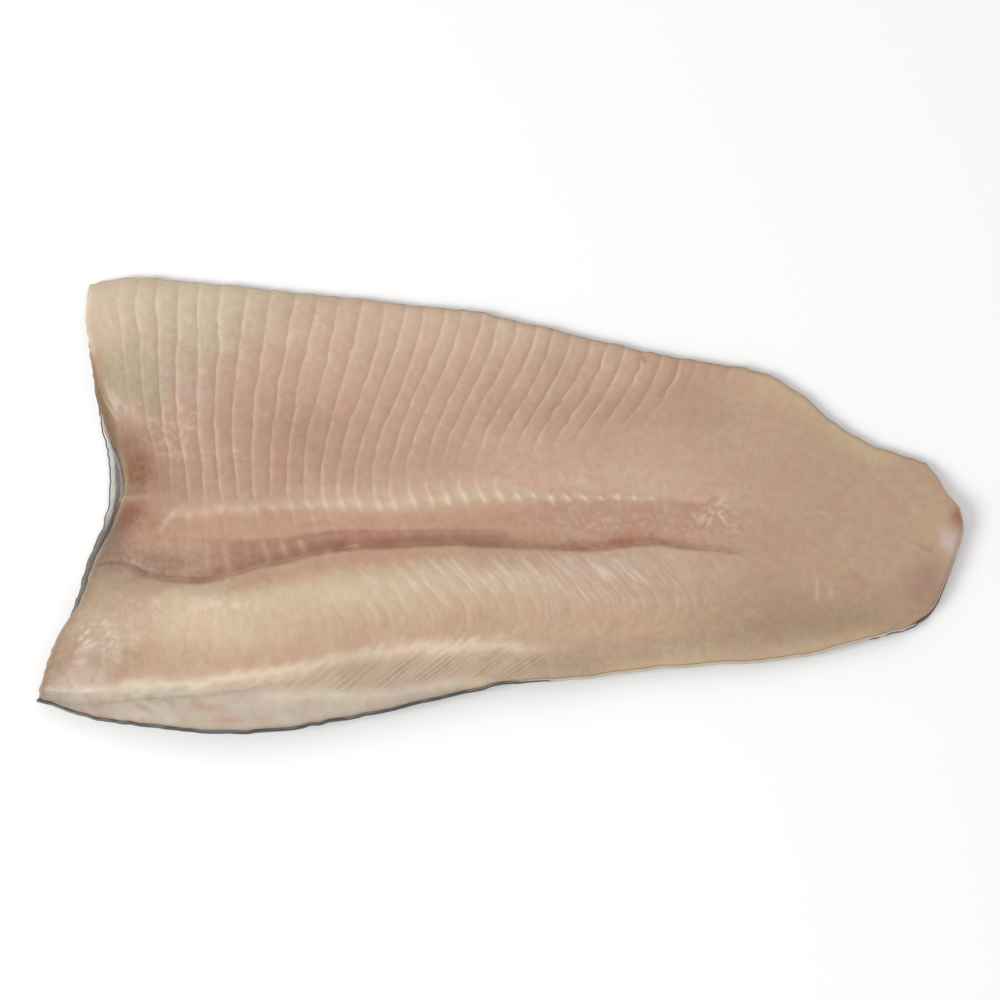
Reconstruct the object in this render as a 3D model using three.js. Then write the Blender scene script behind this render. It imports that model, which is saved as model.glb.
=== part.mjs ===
// A skin-on rainbow trout fillet, lying skin side down with its cut flesh side up.
//
// Units are millimetres. +X runs from the head cut to the tail cut, +Y from the back of the fish
// to its belly, and +Z up. The origin is under the middle of the fillet, on the surface it lies on.
//
// The fillet is two pieces: the boneless flesh, and the skin that holds it like a shallow tray. Both
// are lofts of closed cross-sections. A section follows one septum, the thin sheet between two
// blocks of muscle, as it zigzags from the back edge (across = 0) to the belly edge (across = 1).
import * as THREE from "three";

// ---------------------------------------------------------------- driving dimensions

const SKIN_THICKNESS = 0.8;
const SKIN_GAP = 0.3; // clearance between the skin and the flesh above it
const MYOMERES = 50; // blocks of muscle from the head cut to the tail cut
const COLUMNS_PER_MYOMERE = 2; // one on the groove between two blocks, one on the crown of a block
const CURL_COLUMNS = 6; // columns of the skin that take every section

// The outline in plan, as [x, y] for the long edges and as [across, x] for the two cuts.
const BACK_EDGE = [
  [-119, -51], [-98, -56.7], [-67, -59.5], [-36, -55.4], [-16, -50.9], [5, -46.5],
  [16, -45.9], [32, -44], [51, -42], [68, -40.8], [79, -39.4], [90, -36.4], [103, -33], [120, -26.4],
];
const BELLY_EDGE = [
  [-111, 60], [-99, 62.2], [-80, 60.8], [-27, 55], [-6, 52.7], [16, 47.3],
  [37, 42.3], [58, 38.3], [68, 36.6], [79, 30.3], [89, 21.5], [99.5, 15.8], [111, 12.1], [121, 8.5],
];
const HEAD_CUT = [
  [0, -119], [0.08, -117], [0.15, -114.4], [0.22, -111.3], [0.29, -109.4], [0.36, -107.9], [0.43, -105.2],
  [0.5, -103.8], [0.57, -104.3], [0.64, -106.3], [0.74, -108.1], [0.85, -109.5], [0.93, -110.7], [1, -109.8],
];
const TAIL_CUT = [
  [0, 107], [0.035, 111], [0.09, 113.3], [0.17, 115], [0.29, 117.2], [0.42, 119],
  [0.56, 120.6], [0.72, 119.8], [0.83, 116.8], [0.92, 114.9], [1, 111.6],
];

// Where the lines that run the length of the fillet lie across it, as [x, across].
const FAT_STRIPE = [
  [-112, 0.035], [-95, 0.07], [-78, 0.095], [-53, 0.122], [-30, 0.131], [-6, 0.103], [12, 0.078], [118, 0.07],
];
const LOIN_CREST = [[-112, 0.2], [-76, 0.272], [-25, 0.285], [5, 0.267], [118, 0.267]];
const CREASE = [
  [-103.5, 0.331], [-95, 0.336], [-91, 0.31], [-79, 0.316], [-60, 0.359], [-39, 0.386],
  [-13, 0.375], [0, 0.358], [25, 0.36], [38, 0.378], [51, 0.365], [64, 0.353], [118, 0.36],
];
const FAT_LINE = [
  [-97, 0.481], [-86, 0.467], [-67, 0.491], [-44, 0.507], [0, 0.487], [36, 0.51], [56, 0.483], [118, 0.49],
];
const BELLY_MIDDLE = 0.75;
const LINE_PLACE = { stripe: 0.1, crest: 0.27, crease: 0.36, fat: 0.49 }; // about where each line lies

// The height of the flesh above the surface at each of those lines, as [x, z].
const BACK_HEIGHT = [[-116, 5.2], [-75, 8.4], [-20, 7.6], [40, 6.2], [85, 4.8], [118, 3.6]];
const FAT_STRIPE_HEIGHT = [
  [-116, 7.2], [-95, 11.2], [-70, 12.8], [-20, 11.8], [40, 9.2], [85, 6.6], [118, 4.2],
];
const LOIN_HEIGHT = [
  [-113, 8.6], [-104, 13], [-90, 15.4], [-70, 16.4], [-20, 15.4], [40, 12.3], [85, 8.2], [118, 5],
];
const CREASE_HEIGHT = [[-108, 9.6], [-85, 12.8], [-20, 12.4], [40, 11], [70, 9.6], [118, 5.2]];
const FAT_LINE_HEIGHT = [[-104, 11.2], [-75, 12.4], [-20, 11.8], [40, 10.6], [85, 7.8], [118, 5.2]];
const BELLY_HEIGHT = [[-108, 5.6], [-75, 6.8], [-20, 7.2], [40, 6.8], [85, 5.6], [118, 4.4]];
const BELLY_EDGE_HEIGHT = [[-110, 3.2], [-20, 3.4], [85, 3.2], [118, 2.8]];
const BELLY_EDGE_ROUND = 0.98; // the edge rounds over between here and across = 1
const BELLY_EDGE_DROP = 0.6; // share of its height that is left where it ends

// The back of the fish: the skin curls up round the edge as part of an ellipse.
const RIM_TOP_ANGLE = [[-119, 8], [-20, 6], [20, 2], [95, 2], [112, 12]]; // [x, degrees past upright]
const RIM_WIDTH_TO_HEIGHT = 1.35;

// The crease beside the backbone line, as [x, depth], and its half widths towards loin and belly.
const CREASE_DEPTH = [[-106, 1.2], [-88, 2.4], [-60, 3.2], [10, 2.8], [40, 2.2], [58, 1], [72, 0], [118, 0]];
const CREASE_HALF_WIDTH = { loin: 1, belly: 2.4 };

// The flesh ends a little short of the skin: [across, inset] at the head cut.
const HEAD_INSET = [
  [0, 0.4], [0.15, 0.5], [0.2, 1.2], [0.235, 2.8], [0.28, 3.3], [0.34, 2.7], [0.39, 2.3], [0.43, 2.9],
  [0.465, 3.4], [0.5, 4.3], [0.53, 4.2], [0.57, 3.5], [0.61, 2.4], [0.66, 1.4], [0.72, 0.6], [1, 0.4],
];
const TAIL_INSET = 0.4;
const BELLY_INSET = 0.3;
// Shares of the length over which an inset, the shape of a cut and the lean of the septa die away.
const FADE = { inset: 0.1, headCut: 0.3, tailCut: 0.25, lean: 0.06 };
const RIM_BLEND = 0.04; // share of the width over which the flesh comes down to meet the rim

// The hollow at the head cut, where the flesh thins out above and below the lateral septum.
const HOLLOW = { depth: 7, length: 15, low: 0.42, high: 0.64, soft: 0.13 };
const HOLLOW_SEPTUM = { across: 0.485, width: 0.02, height: 1.4 };
const LEAST_FLESH = 1.6; // thinnest flesh anywhere above the skin

// The skin's free edge at the head cut curls up.
const CURL = { height: 1.5, length: 8, low: 0.22, high: 0.8, soft: 0.16 };

// Septum grooves, deepest on the belly, shallower on the loin and on the strip between them.
const GROOVE_DEPTH = { belly: 0.6, strip: 0.2, loin: 0.4 };
const GROOVE_START = 14; // they grow to full depth over this distance from the head cut
const GROOVE_SOFT = { crease: 0.03, fat: 0.05 }; // share of the width over which one depth becomes another
const GROOVES_END = { from: 40, to: 62 }; // they die away between these distances along x
const LOIN_GROOVES_END = { from: 45, to: 80 };

// How far a septum leans towards the tail, in millimetres, by its place across the fillet.
const LEAN_IN_LOIN = [
  [0, -4], [0.05, 5], [0.09, 12], [0.12, 16.8], [0.163, 19], [0.2, 18.3],
  [0.24, 15.9], [0.28, 12.8], [0.33, 8.8], [0.38, 5.5], [0.44, 2], [0.49, 0],
];
const LEAN_IN_BELLY = [
  [0.49, 0], [0.52, -1.2], [0.56, -1.2], [0.64, 0.6], [0.74, 5], [0.84, 9.8], [0.93, 13], [1, 14.5],
];
const BOW_IN_BELLY = 1.5; // near the head cut the belly septa bow towards the head instead
// There their ends also hook back towards the head, by `reach`, over these shares across and along.
const EDGE_HOOK = { reach: 2, start: 0.86, full: 1.04, dieFrom: 0.1, dieTo: 0.26 };
// The share of that lean along the fillet, from the head cut (0) to the tail cut (1).
const LOIN_LEAN_ALONG = [[0, 0.1], [0.12, 0.55], [0.28, 1], [0.6, 1], [1, 0.15]];
const BELLY_LEAN_ALONG = [[0, 0], [0.08, 0.1], [0.2, 0.42], [0.32, 0.85], [0.42, 1], [0.62, 1.15], [1, 0.1]];
const BELLY_BOW_ALONG = [[0, 0], [0.06, 1], [0.14, 1], [0.3, 0], [1, 0]];

// The small knob of flesh left where the tail was cut off.
const TAIL_KNOB = { x: 116.5, y: -3.5, radius: 5, height: 1.3 };

// How each stretch of a cross-section is divided, from the back edge to the belly edge.
const ROWS = { toStripe: 3, toCrest: 5, toCrease: 4, toFatLine: 5, toBellyEdge: 11, rim: 5, flat: 10 };

// ---------------------------------------------------------------- small tools

const clamp01 = (t) => Math.min(1, Math.max(0, t));
const lerp = THREE.MathUtils.lerp;

function smoothStep(from, to, t) {
  const s = clamp01((t - from) / (to - from));
  return s * s * (3 - 2 * s);
}

// 1 between low and high, easing to 0 over `soft` beyond them.
function windowed(t, { low, high, soft }) {
  return smoothStep(low - soft, low, t) * (1 - smoothStep(high, high + soft, t));
}

// A smooth curve through [position, value] points that never overshoots them.
function curve(points) {
  const n = points.length;
  const slope = points.slice(1).map((p, i) => (p[1] - points[i][1]) / (p[0] - points[i][0]));
  const tangent = points.map((_, i) => {
    if (i === 0) return slope[0];
    if (i === n - 1) return slope[n - 2];
    const [a, b] = [slope[i - 1], slope[i]];
    return a * b <= 0 ? 0 : (2 * a * b) / (a + b);
  });
  return (t) => {
    if (t <= points[0][0]) return points[0][1] + (t - points[0][0]) * tangent[0];
    if (t >= points[n - 1][0]) return points[n - 1][1] + (t - points[n - 1][0]) * tangent[n - 1];
    const i = points.findIndex((p, k) => k < n - 1 && t <= points[k + 1][0]);
    const width = points[i + 1][0] - points[i][0];
    const s = (t - points[i][0]) / width;
    const rise = points[i + 1][1] - points[i][1];
    const ease = s * s * (3 - 2 * s);
    const bend = s * (1 - s) * ((1 - s) * tangent[i] - s * tangent[i + 1]) * width;
    return points[i][1] + rise * ease + bend;
  };
}

// ---------------------------------------------------------------- plan

const backEdge = curve(BACK_EDGE);
const bellyEdge = curve(BELLY_EDGE);
const headCut = curve(HEAD_CUT);
const tailCut = curve(TAIL_CUT);
const headInset = curve(HEAD_INSET);
const leanInLoin = curve(LEAN_IN_LOIN);
const leanInBelly = curve(LEAN_IN_BELLY);
const loinLeanAlong = curve(LOIN_LEAN_ALONG);
const bellyLeanAlong = curve(BELLY_LEAN_ALONG);
const bellyBowAlong = curve(BELLY_BOW_ALONG);

const HEAD_X = headCut(LINE_PLACE.fat);
const TAIL_X = tailCut(LINE_PLACE.fat);

// How far a septum at `along` leans towards the tail at `across`.
function lean(along, across) {
  if (across < LINE_PLACE.fat) return leanInLoin(across) * loinLeanAlong(along);
  const up = (across - LINE_PLACE.fat) / (1 - LINE_PLACE.fat);
  const bow = BOW_IN_BELLY * Math.sin(Math.PI * up) * bellyBowAlong(along);
  const hook = EDGE_HOOK.reach * smoothStep(EDGE_HOOK.start, EDGE_HOOK.full, across)
    * (1 - smoothStep(EDGE_HOOK.dieFrom, EDGE_HOOK.dieTo, along));
  return leanInBelly(across) * bellyLeanAlong(along) - bow - hook;
}

// The x of a point on the septum `along` (0 at the head cut, 1 at the tail cut).
function planX(along, across) {
  const head = (headCut(across) - HEAD_X) * (1 - smoothStep(0, FADE.headCut, along));
  const tail = (tailCut(across) - TAIL_X) * smoothStep(1 - FADE.tailCut, 1, along);
  const free = smoothStep(0, FADE.lean, along) * (1 - smoothStep(1 - FADE.lean, 1, along));
  return lerp(HEAD_X, TAIL_X, along) + head + tail + lean(along, across) * free;
}

// The same for the flesh, which stops a little short of the skin at both cuts.
function fleshX(along, across) {
  const head = headInset(across) * (1 - smoothStep(0, FADE.inset, along));
  const tail = TAIL_INSET * smoothStep(1 - FADE.inset, 1, along);
  return planX(along, across) + head - tail;
}

const widthAt = (x) => bellyEdge(x) - backEdge(x);

// ---------------------------------------------------------------- skin surfaces

const backHeight = curve(BACK_HEIGHT);
const rimTopDegrees = curve(RIM_TOP_ANGLE);
const curlDepth = (x, across) => {
  const fromCut = clamp01((x - headCut(across)) / CURL.length);
  return CURL.height * (1 - fromCut) ** 2 * windowed(across, CURL);
};

// The ellipse that the skin follows round the back edge. Its top ends at the back height.
function rim(x) {
  const topAngle = THREE.MathUtils.degToRad(rimTopDegrees(x));
  const height = backHeight(x) / (1 + Math.sin(topAngle));
  return { topAngle, height, width: height * RIM_WIDTH_TO_HEIGHT };
}

// A point of the surface that lies `offset` inside the skin's outer face, at `angle` round the rim.
function rimPoint(xAt, along, angle, offset) {
  const start = xAt(along, 0);
  const across = (rim(start).width * (1 - Math.cos(angle))) / widthAt(start);
  const x = xAt(along, across);
  const { height, width } = rim(x);
  const y = backEdge(x) + width - (width - offset) * Math.cos(angle);
  const z = height + (height - offset) * Math.sin(angle);
  return [x, y, z + curlDepth(x, across)];
}

// A point of the same surface on its flat part, `t` of the way from the rim to the belly edge.
function flatPoint(xAt, along, t, offset, bellyInset = 0) {
  const start = xAt(along, 0);
  const across = lerp(rim(start).width / widthAt(start), 1, t);
  const x = xAt(along, across);
  const y = lerp(backEdge(x) + rim(x).width, bellyEdge(x) - bellyInset, t);
  return [x, y, offset + curlDepth(x, across)];
}

// The surface from the belly edge to the top of the rim, as one open line of points.
function underLine(xAt, along, offset, bellyInset) {
  const flat = steps(ROWS.flat).map((t) => flatPoint(xAt, along, 1 - t, offset, bellyInset));
  const round = steps(ROWS.rim).slice(1);
  const { topAngle } = rim(xAt(along, 0));
  const angles = round.map((t) => lerp(-Math.PI / 2, topAngle, t));
  return [...flat, ...angles.map((angle) => rimPoint(xAt, along, angle, offset))];
}

// 0 to 1 in n equal steps.
function steps(n) {
  return Array.from({ length: n + 1 }, (_, i) => i / n);
}

// ---------------------------------------------------------------- flesh surface

const line = {
  stripe: curve(FAT_STRIPE),
  crest: curve(LOIN_CREST),
  crease: curve(CREASE),
  fat: curve(FAT_LINE),
};
const height = {
  stripe: curve(FAT_STRIPE_HEIGHT),
  loin: curve(LOIN_HEIGHT),
  crease: curve(CREASE_HEIGHT),
  fat: curve(FAT_LINE_HEIGHT),
  belly: curve(BELLY_HEIGHT),
  bellyEdge: curve(BELLY_EDGE_HEIGHT),
};
const creaseDepth = curve(CREASE_DEPTH);

// The smooth cross-section at x: [across, height] from the back edge to the belly edge.
function sectionAt(x) {
  return curve([
    [0, backHeight(x)],
    [line.stripe(x), height.stripe(x)],
    [line.crest(x), height.loin(x)],
    [line.crease(x), height.crease(x)],
    [line.fat(x), height.fat(x)],
    [BELLY_MIDDLE, height.belly(x)],
    [BELLY_EDGE_ROUND, height.bellyEdge(x)],
    [1, height.bellyEdge(x) * BELLY_EDGE_DROP],
  ]);
}

function creaseCut(x, across) {
  const away = (across - line.crease(x)) * widthAt(x);
  const half = away < 0 ? CREASE_HALF_WIDTH.loin : CREASE_HALF_WIDTH.belly;
  return creaseDepth(x) * Math.exp(-((away / half) ** 2));
}

function hollowCut(x, across) {
  const fromCut = clamp01((x - headCut(across)) / HOLLOW.length);
  const slope = (1 - smoothStep(0, 1, fromCut)) * windowed(across, HOLLOW);
  const septum = Math.exp(-(((across - HOLLOW_SEPTUM.across) / HOLLOW_SEPTUM.width) ** 2));
  return HOLLOW.depth * slope - HOLLOW_SEPTUM.height * septum * slope;
}

// The groove that a septum leaves between two blocks of muscle.
function grooveCut(along, x, across) {
  const onGroove = 0.5 + 0.5 * Math.cos(2 * Math.PI * along * MYOMERES);
  const start = smoothStep(0, GROOVE_START, x - headCut(across));
  const [stripe, crest, crease, fat] = [line.stripe, line.crest, line.crease, line.fat].map((f) => f(x));
  const belly = smoothStep(fat, fat + GROOVE_SOFT.fat, across);
  const strip = smoothStep(crease, crease + GROOVE_SOFT.crease, across) * (1 - belly);
  const loin = smoothStep(stripe, crest, across) * (1 - smoothStep(crest, crease, across));
  const bellyEnd = 1 - smoothStep(GROOVES_END.from, GROOVES_END.to, x);
  const loinEnd = 1 - smoothStep(LOIN_GROOVES_END.from, LOIN_GROOVES_END.to, x);
  const depth = (GROOVE_DEPTH.belly * belly + GROOVE_DEPTH.strip * strip) * bellyEnd
    + GROOVE_DEPTH.loin * loin * loinEnd;
  return depth * onGroove * start;
}

function knobRise(x, y) {
  const away = Math.hypot(x - TAIL_KNOB.x, y - TAIL_KNOB.y) / TAIL_KNOB.radius;
  return TAIL_KNOB.height * Math.exp(-away * away);
}

// A point of the cut face.
function topPoint(along, across) {
  const x = fleshX(along, across);
  const { topAngle, height: rimHeight, width: rimWidth } = rim(x);
  const inside = SKIN_THICKNESS + SKIN_GAP;
  const back = backEdge(x) + rimWidth - (rimWidth - inside) * Math.cos(topAngle);
  const y = lerp(back, bellyEdge(x) - BELLY_INSET, across);
  const atRim = rimHeight + (rimHeight - inside) * Math.sin(topAngle);
  const base = sectionAt(x)(across) - (backHeight(x) - atRim) * (1 - smoothStep(0, RIM_BLEND, across));
  const cut = creaseCut(x, across) + hollowCut(x, across) + grooveCut(along, x, across);
  const least = inside + LEAST_FLESH + curlDepth(x, across);
  return [x, y, Math.max(base - cut + knobRise(x, y), least)];
}

// Places across the fillet for the rows of the cut face: they gather on the long lines.
function topRows(along) {
  const across = (name) => line[name](fleshX(along, LINE_PLACE[name]));
  const knots = [
    [0, ROWS.toStripe],
    [across("stripe"), ROWS.toCrest],
    [across("crest"), ROWS.toCrease],
    [across("crease"), ROWS.toFatLine],
    [across("fat"), ROWS.toBellyEdge],
    [BELLY_EDGE_ROUND, 1],
    [1, 0],
  ];
  const rows = knots.slice(0, -1).flatMap(([from, count], i) =>
    steps(count).slice(0, -1).map((t) => lerp(from, knots[i + 1][0], t)));
  return [...rows, 1];
}

// ---------------------------------------------------------------- lofts

// How far along a line of points each of them lies, from 0 to 1.
function shares(points) {
  const reach = [0];
  for (let i = 1; i < points.length; i++) {
    const [dx, dy, dz] = points[i].map((value, k) => value - points[i - 1][k]);
    reach.push(reach.at(-1) + Math.hypot(dx, dy, dz));
  }
  return reach.map((r) => r / reach.at(-1));
}

// Closes one ring with triangles between its first `upperCount` points and the rest, in ring order.
function endFaces(ring, upperCount) {
  const upper = ring.map((_, i) => i).slice(0, upperCount);
  const lower = ring.map((_, i) => i).slice(upperCount).reverse();
  const upperShares = shares(upper.map((i) => ring[i]));
  const lowerShares = shares(lower.map((i) => ring[i]));
  const faces = [];
  let [i, j] = [0, 0];
  while (i + j < ring.length - 2) {
    const upperNext = upperShares[i + 1] ?? Infinity;
    const lowerNext = lowerShares[j + 1] ?? Infinity;
    if (upperNext <= lowerNext) {
      faces.push([upper[i], upper[i + 1], lower[j]]);
      i += 1;
    } else {
      faces.push([upper[i], lower[j + 1], lower[j]]);
      j += 1;
    }
  }
  return faces;
}

// Joins closed rings of points, all with the same count, into one closed surface.
function loft(rings, upperCount) {
  const size = rings[0].length;
  const faces = [];
  for (let i = 0; i < rings.length - 1; i++) {
    for (let j = 0; j < size; j++) {
      const [a, b] = [i * size + j, i * size + ((j + 1) % size)];
      faces.push([a, a + size, b], [b, a + size, b + size]);
    }
  }
  const last = (rings.length - 1) * size;
  faces.push(...endFaces(rings[0], upperCount));
  endFaces(rings.at(-1), upperCount).forEach(([a, b, c]) => faces.push([last + c, last + b, last + a]));
  const geometry = new THREE.BufferGeometry();
  geometry.setAttribute("position", new THREE.Float32BufferAttribute(rings.flat(2), 3));
  geometry.setIndex(faces.flat());
  geometry.computeVertexNormals();
  return geometry;
}

const COLUMNS = steps(MYOMERES * COLUMNS_PER_MYOMERE);

function fleshGeometry() {
  const rings = COLUMNS.map((along) => {
    const top = topRows(along).map((across) => topPoint(along, across));
    const under = underLine(fleshX, along, SKIN_THICKNESS + SKIN_GAP, BELLY_INSET);
    return { top, ring: [...top, ...under.slice(0, -1)] };
  });
  return loft(rings.map(({ ring }) => ring), rings[0].top.length);
}

// The skin is smooth, so past the curl at the head cut it takes every second section.
function skinGeometry() {
  const columns = COLUMNS.filter((_, i) => i < CURL_COLUMNS || i % 2 === 0);
  const rings = columns.map((along) => {
    const outer = underLine(planX, along, 0, 0);
    const inner = underLine(planX, along, SKIN_THICKNESS, 0);
    return [...inner.reverse(), ...outer];
  });
  return loft(rings, rings[0].length / 2);
}

// ---------------------------------------------------------------- the fillet

function piece(name, geometry, color, roughness) {
  const material = new THREE.MeshStandardMaterial({ color, roughness, metalness: 0 });
  const mesh = new THREE.Mesh(geometry, material);
  mesh.name = name;
  return mesh;
}

const fillet = new THREE.Group();
fillet.add(piece("flesh", fleshGeometry(), 0xc5a287, 0.45));
fillet.add(piece("skin", skinGeometry(), 0x8f9087, 0.35));

// The origin goes under the middle of the fillet's box.
const box = new THREE.Box3().setFromObject(fillet);
const middle = box.getCenter(new THREE.Vector3());
fillet.children.forEach((mesh) => mesh.position.set(-middle.x, -middle.y, -box.min.z));

export default fillet;
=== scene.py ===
# %% [markdown]
# # A rainbow trout fillet
#
# The object is one raw fillet, lying skin side down, so that we look at the cut flesh. It has two pieces:
# the flesh, ridged by its blocks of muscle, and the skin, a thin tray that holds it and shows at the head
# cut and along the back. The imported model gives both as plain solids. It is loaded first, as the fixed
# frame that every piece here has to fit.

import math

import bpy
import numpy as np
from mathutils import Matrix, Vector


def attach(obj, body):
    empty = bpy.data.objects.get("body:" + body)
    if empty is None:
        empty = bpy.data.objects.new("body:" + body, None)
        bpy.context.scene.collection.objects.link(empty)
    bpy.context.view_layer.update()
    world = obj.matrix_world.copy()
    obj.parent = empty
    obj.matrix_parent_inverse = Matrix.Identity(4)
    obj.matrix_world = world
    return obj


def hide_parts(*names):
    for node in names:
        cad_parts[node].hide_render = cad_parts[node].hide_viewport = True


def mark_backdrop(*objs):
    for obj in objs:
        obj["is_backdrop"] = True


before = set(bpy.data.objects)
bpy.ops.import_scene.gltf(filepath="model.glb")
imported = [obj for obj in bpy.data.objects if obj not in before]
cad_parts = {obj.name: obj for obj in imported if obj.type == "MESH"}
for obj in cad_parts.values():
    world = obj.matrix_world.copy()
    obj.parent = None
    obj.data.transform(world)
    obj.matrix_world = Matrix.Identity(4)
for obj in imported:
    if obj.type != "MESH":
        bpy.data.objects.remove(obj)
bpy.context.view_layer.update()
MM = 0.001  # sizes below are in millimetres, and the meshes are made in metres
print("CAD nodes:", sorted(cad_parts))

# %% [markdown]
# ## How a fillet is measured
#
# A fillet could be sculpted by hand, but its form is regular enough to be worked out. A place on it has
# two shares: how far `along` it lies, from the head cut (0) to the tail cut (1), and how far `across`,
# from the back of the fish (0) to the belly (1). Lines of equal `along` follow the septa, the thin white
# sheets between the blocks of muscle, so every ridge and groove can be laid on them exactly. The sizes
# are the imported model's own: x runs from head to tail, y from back to belly. Every edge and line is a
# short table of (place, value) knots, read off the photograph and turned into millimetres.

# %% Outline and lengthwise lines
BACK_EDGE = [
    (-119, -51), (-98, -56.7), (-67, -59.5), (-36, -55.4), (-16, -50.9), (5, -46.5),
    (16, -45.9), (32, -44), (51, -42), (68, -40.8), (79, -39.4), (90, -36.4), (103, -33), (120, -26.4),
]
BELLY_EDGE = [
    (-111, 60), (-99, 62.2), (-80, 60.8), (-27, 55), (-6, 52.7), (16, 47.3),
    (37, 42.3), (58, 38.3), (68, 36.6), (79, 30.3), (89, 21.5), (99.5, 15.8), (111, 12.1), (121, 8.5),
]
HEAD_CUT = [
    (0, -119), (0.08, -117), (0.15, -114.4), (0.22, -111.3), (0.29, -109.3), (0.36, -107), (0.43, -104),
    (0.5, -102.5), (0.57, -102.9), (0.64, -104.8), (0.74, -107.1), (0.85, -109.2), (0.93, -110.7),
    (1, -109.8),
]
TAIL_CUT = [
    (0, 107), (0.035, 111), (0.09, 113.3), (0.17, 115), (0.29, 117.2), (0.42, 119), (0.56, 120.6),
    (0.72, 119.8), (0.83, 116.8), (0.92, 114.9), (1, 111.6),
]
LINES = {  # how far across each lengthwise line lies, by x
    "stripe": [
        (-112, 0.035), (-95, 0.07), (-78, 0.095), (-53, 0.122), (-30, 0.131), (-6, 0.103), (12, 0.078),
        (118, 0.07),
    ],
    "crest": [(-112, 0.2), (-76, 0.272), (-25, 0.285), (5, 0.267), (118, 0.267)],
    "crease": [
        (-103.5, 0.331), (-97, 0.333), (-88, 0.314), (-79, 0.316), (-60, 0.359), (-39, 0.386), (-13, 0.375),
        (0, 0.358), (25, 0.36), (38, 0.378), (51, 0.365), (64, 0.353), (118, 0.36),
    ],
    "fold": [
        (-112, 0.4), (-76, 0.405), (-55, 0.414), (-42, 0.423), (-26, 0.414), (0, 0.393), (15, 0.385),
        (118, 0.4),
    ],
    "fat": [
        (-97, 0.475), (-82, 0.462), (-74, 0.475), (-66, 0.482), (-57, 0.491), (-45, 0.492), (-30, 0.486),
        (-14, 0.4875), (0, 0.49), (36, 0.51), (56, 0.497), (118, 0.49),
    ],
}
LINE_PLACE = {"stripe": 0.1, "crest": 0.27, "crease": 0.36, "fat": 0.49}  # about where the main lines lie
BLOCKS = 50  # blocks of muscle from cut to cut, one to each vertebra
print("lengthwise lines:", sorted(LINES), "and", BLOCKS, "blocks")

# %% [markdown]
# ## Smooth curves
#
# Straight lines between the knots would show as corners in the outline. A spline through them is smooth,
# but a common one swings past its knots. The kind used here never does: where the values turn round, its
# slope is 0. Beyond the last knots it goes on straight.

# %% Curves through knots
def ease(t):
    """0 to 1 with a soft start and end."""
    t = np.clip(t, 0, 1)
    return t * t * (3 - 2 * t)


def rising(low, high, t):
    """0 up to low, easing to 1 at high."""
    return ease((np.asarray(t, float) - low) / (high - low))


def falling(low, high, t):
    """1 up to low, easing to 0 at high."""
    return 1 - rising(low, high, t)


def between(low, high, soft, t):
    """1 from low to high, easing to 0 over soft beyond them."""
    return rising(low - soft, low, t) * falling(high, high + soft, t)


def through(knots, t):
    """The smooth curve through (place, value) knots, at t. Places and values may be arrays like t."""
    t = np.asarray(t, float)
    at = np.stack([np.broadcast_to(place, t.shape) for place, _ in knots]).astype(float)
    value = np.stack([np.broadcast_to(v, t.shape) for _, v in knots]).astype(float)
    width = np.diff(at, axis=0)
    slope = np.diff(value, axis=0) / width
    total = slope[:-1] + slope[1:]
    same_way = slope[:-1] * slope[1:]
    inner = np.where(same_way > 0, 2 * same_way / np.where(total == 0, 1, total), 0)
    tangent = np.concatenate([slope[:1], inner, slope[-1:]])
    i = np.clip((t >= at).sum(axis=0) - 1, 0, len(knots) - 2)[None]
    start, step, low, high, leave, meet = (
        np.take_along_axis(a, j, 0)[0]
        for a, j in ((at, i), (width, i), (value, i), (value, i + 1), (tangent, i), (tangent, i + 1))
    )
    s = (t - start) / step
    inside = np.clip(s, 0, 1)
    bend = inside * (1 - inside) * ((1 - inside) * leave - inside * meet) * step
    before = np.minimum(t - at[0], 0) * tangent[0]
    after = np.maximum(t - at[-1], 0) * tangent[-1]
    return low + (high - low) * ease(inside) + bend + before + after


def width_at(x):
    return through(BELLY_EDGE, x) - through(BACK_EDGE, x)


print("width in mm at x = -80, 0 and 80:", width_at(np.array([-80, 0, 80])).round(1))

# %% [markdown]
# ## Seeded unevenness
#
# Nothing in a fish is as regular as a formula. A lattice of random numbers, smoothed between its points,
# gives slow waves that are the same on every run. They are used for the edges, for the wander of the
# septa, for the depth of the grooves and for the patches of colour.

# %% Smooth waves from a seed
LATTICE = (97, 89)  # it repeats only after so many waves


def waves(x, y, cell, seed):
    """Smooth values from -1 to 1. cell is the size of a wave, as one number or one for each direction."""
    table = np.random.default_rng(seed).uniform(-1, 1, LATTICE)
    cell_x, cell_y = cell if isinstance(cell, tuple) else (cell, cell)
    x, y = np.broadcast_arrays(np.asarray(x, float) / cell_x, np.asarray(y, float) / cell_y)
    i, j = np.floor(x).astype(int), np.floor(y).astype(int)
    s, t = ease(x - i), ease(y - j)

    def corner(a, b):
        return table[(i + a) % LATTICE[0], (j + b) % LATTICE[1]]

    low = corner(0, 0) * (1 - s) + corner(1, 0) * s
    high = corner(0, 1) * (1 - s) + corner(1, 1) * s
    return low * (1 - t) + high * t


def bump_at(away, half_width):
    """1 at a line, falling off smoothly to both sides."""
    return np.exp(-((away / half_width) ** 2))


def patch(x, y, at, size):
    """A soft oval patch: 1 at its middle, 0 well outside its size in mm."""
    return np.exp(-(((x - at[0]) / size[0]) ** 2) - ((y - at[1]) / size[1]) ** 2)


def unevenness(x, y, layers):
    """Waves of several sizes together. A layer is their height and size in mm, and a seed."""
    return sum(height * waves(x, y, cell, seed) for height, cell, seed in layers)


def back_edge(x):
    return through(BACK_EDGE, x) + unevenness(x, 0, [(0.2, 2.3, 51), (0.15, 6, 52)])


def belly_edge(x):
    return through(BELLY_EDGE, x) + unevenness(x, 0, [(0.25, 2, 53), (0.2, 7, 54)])


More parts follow.
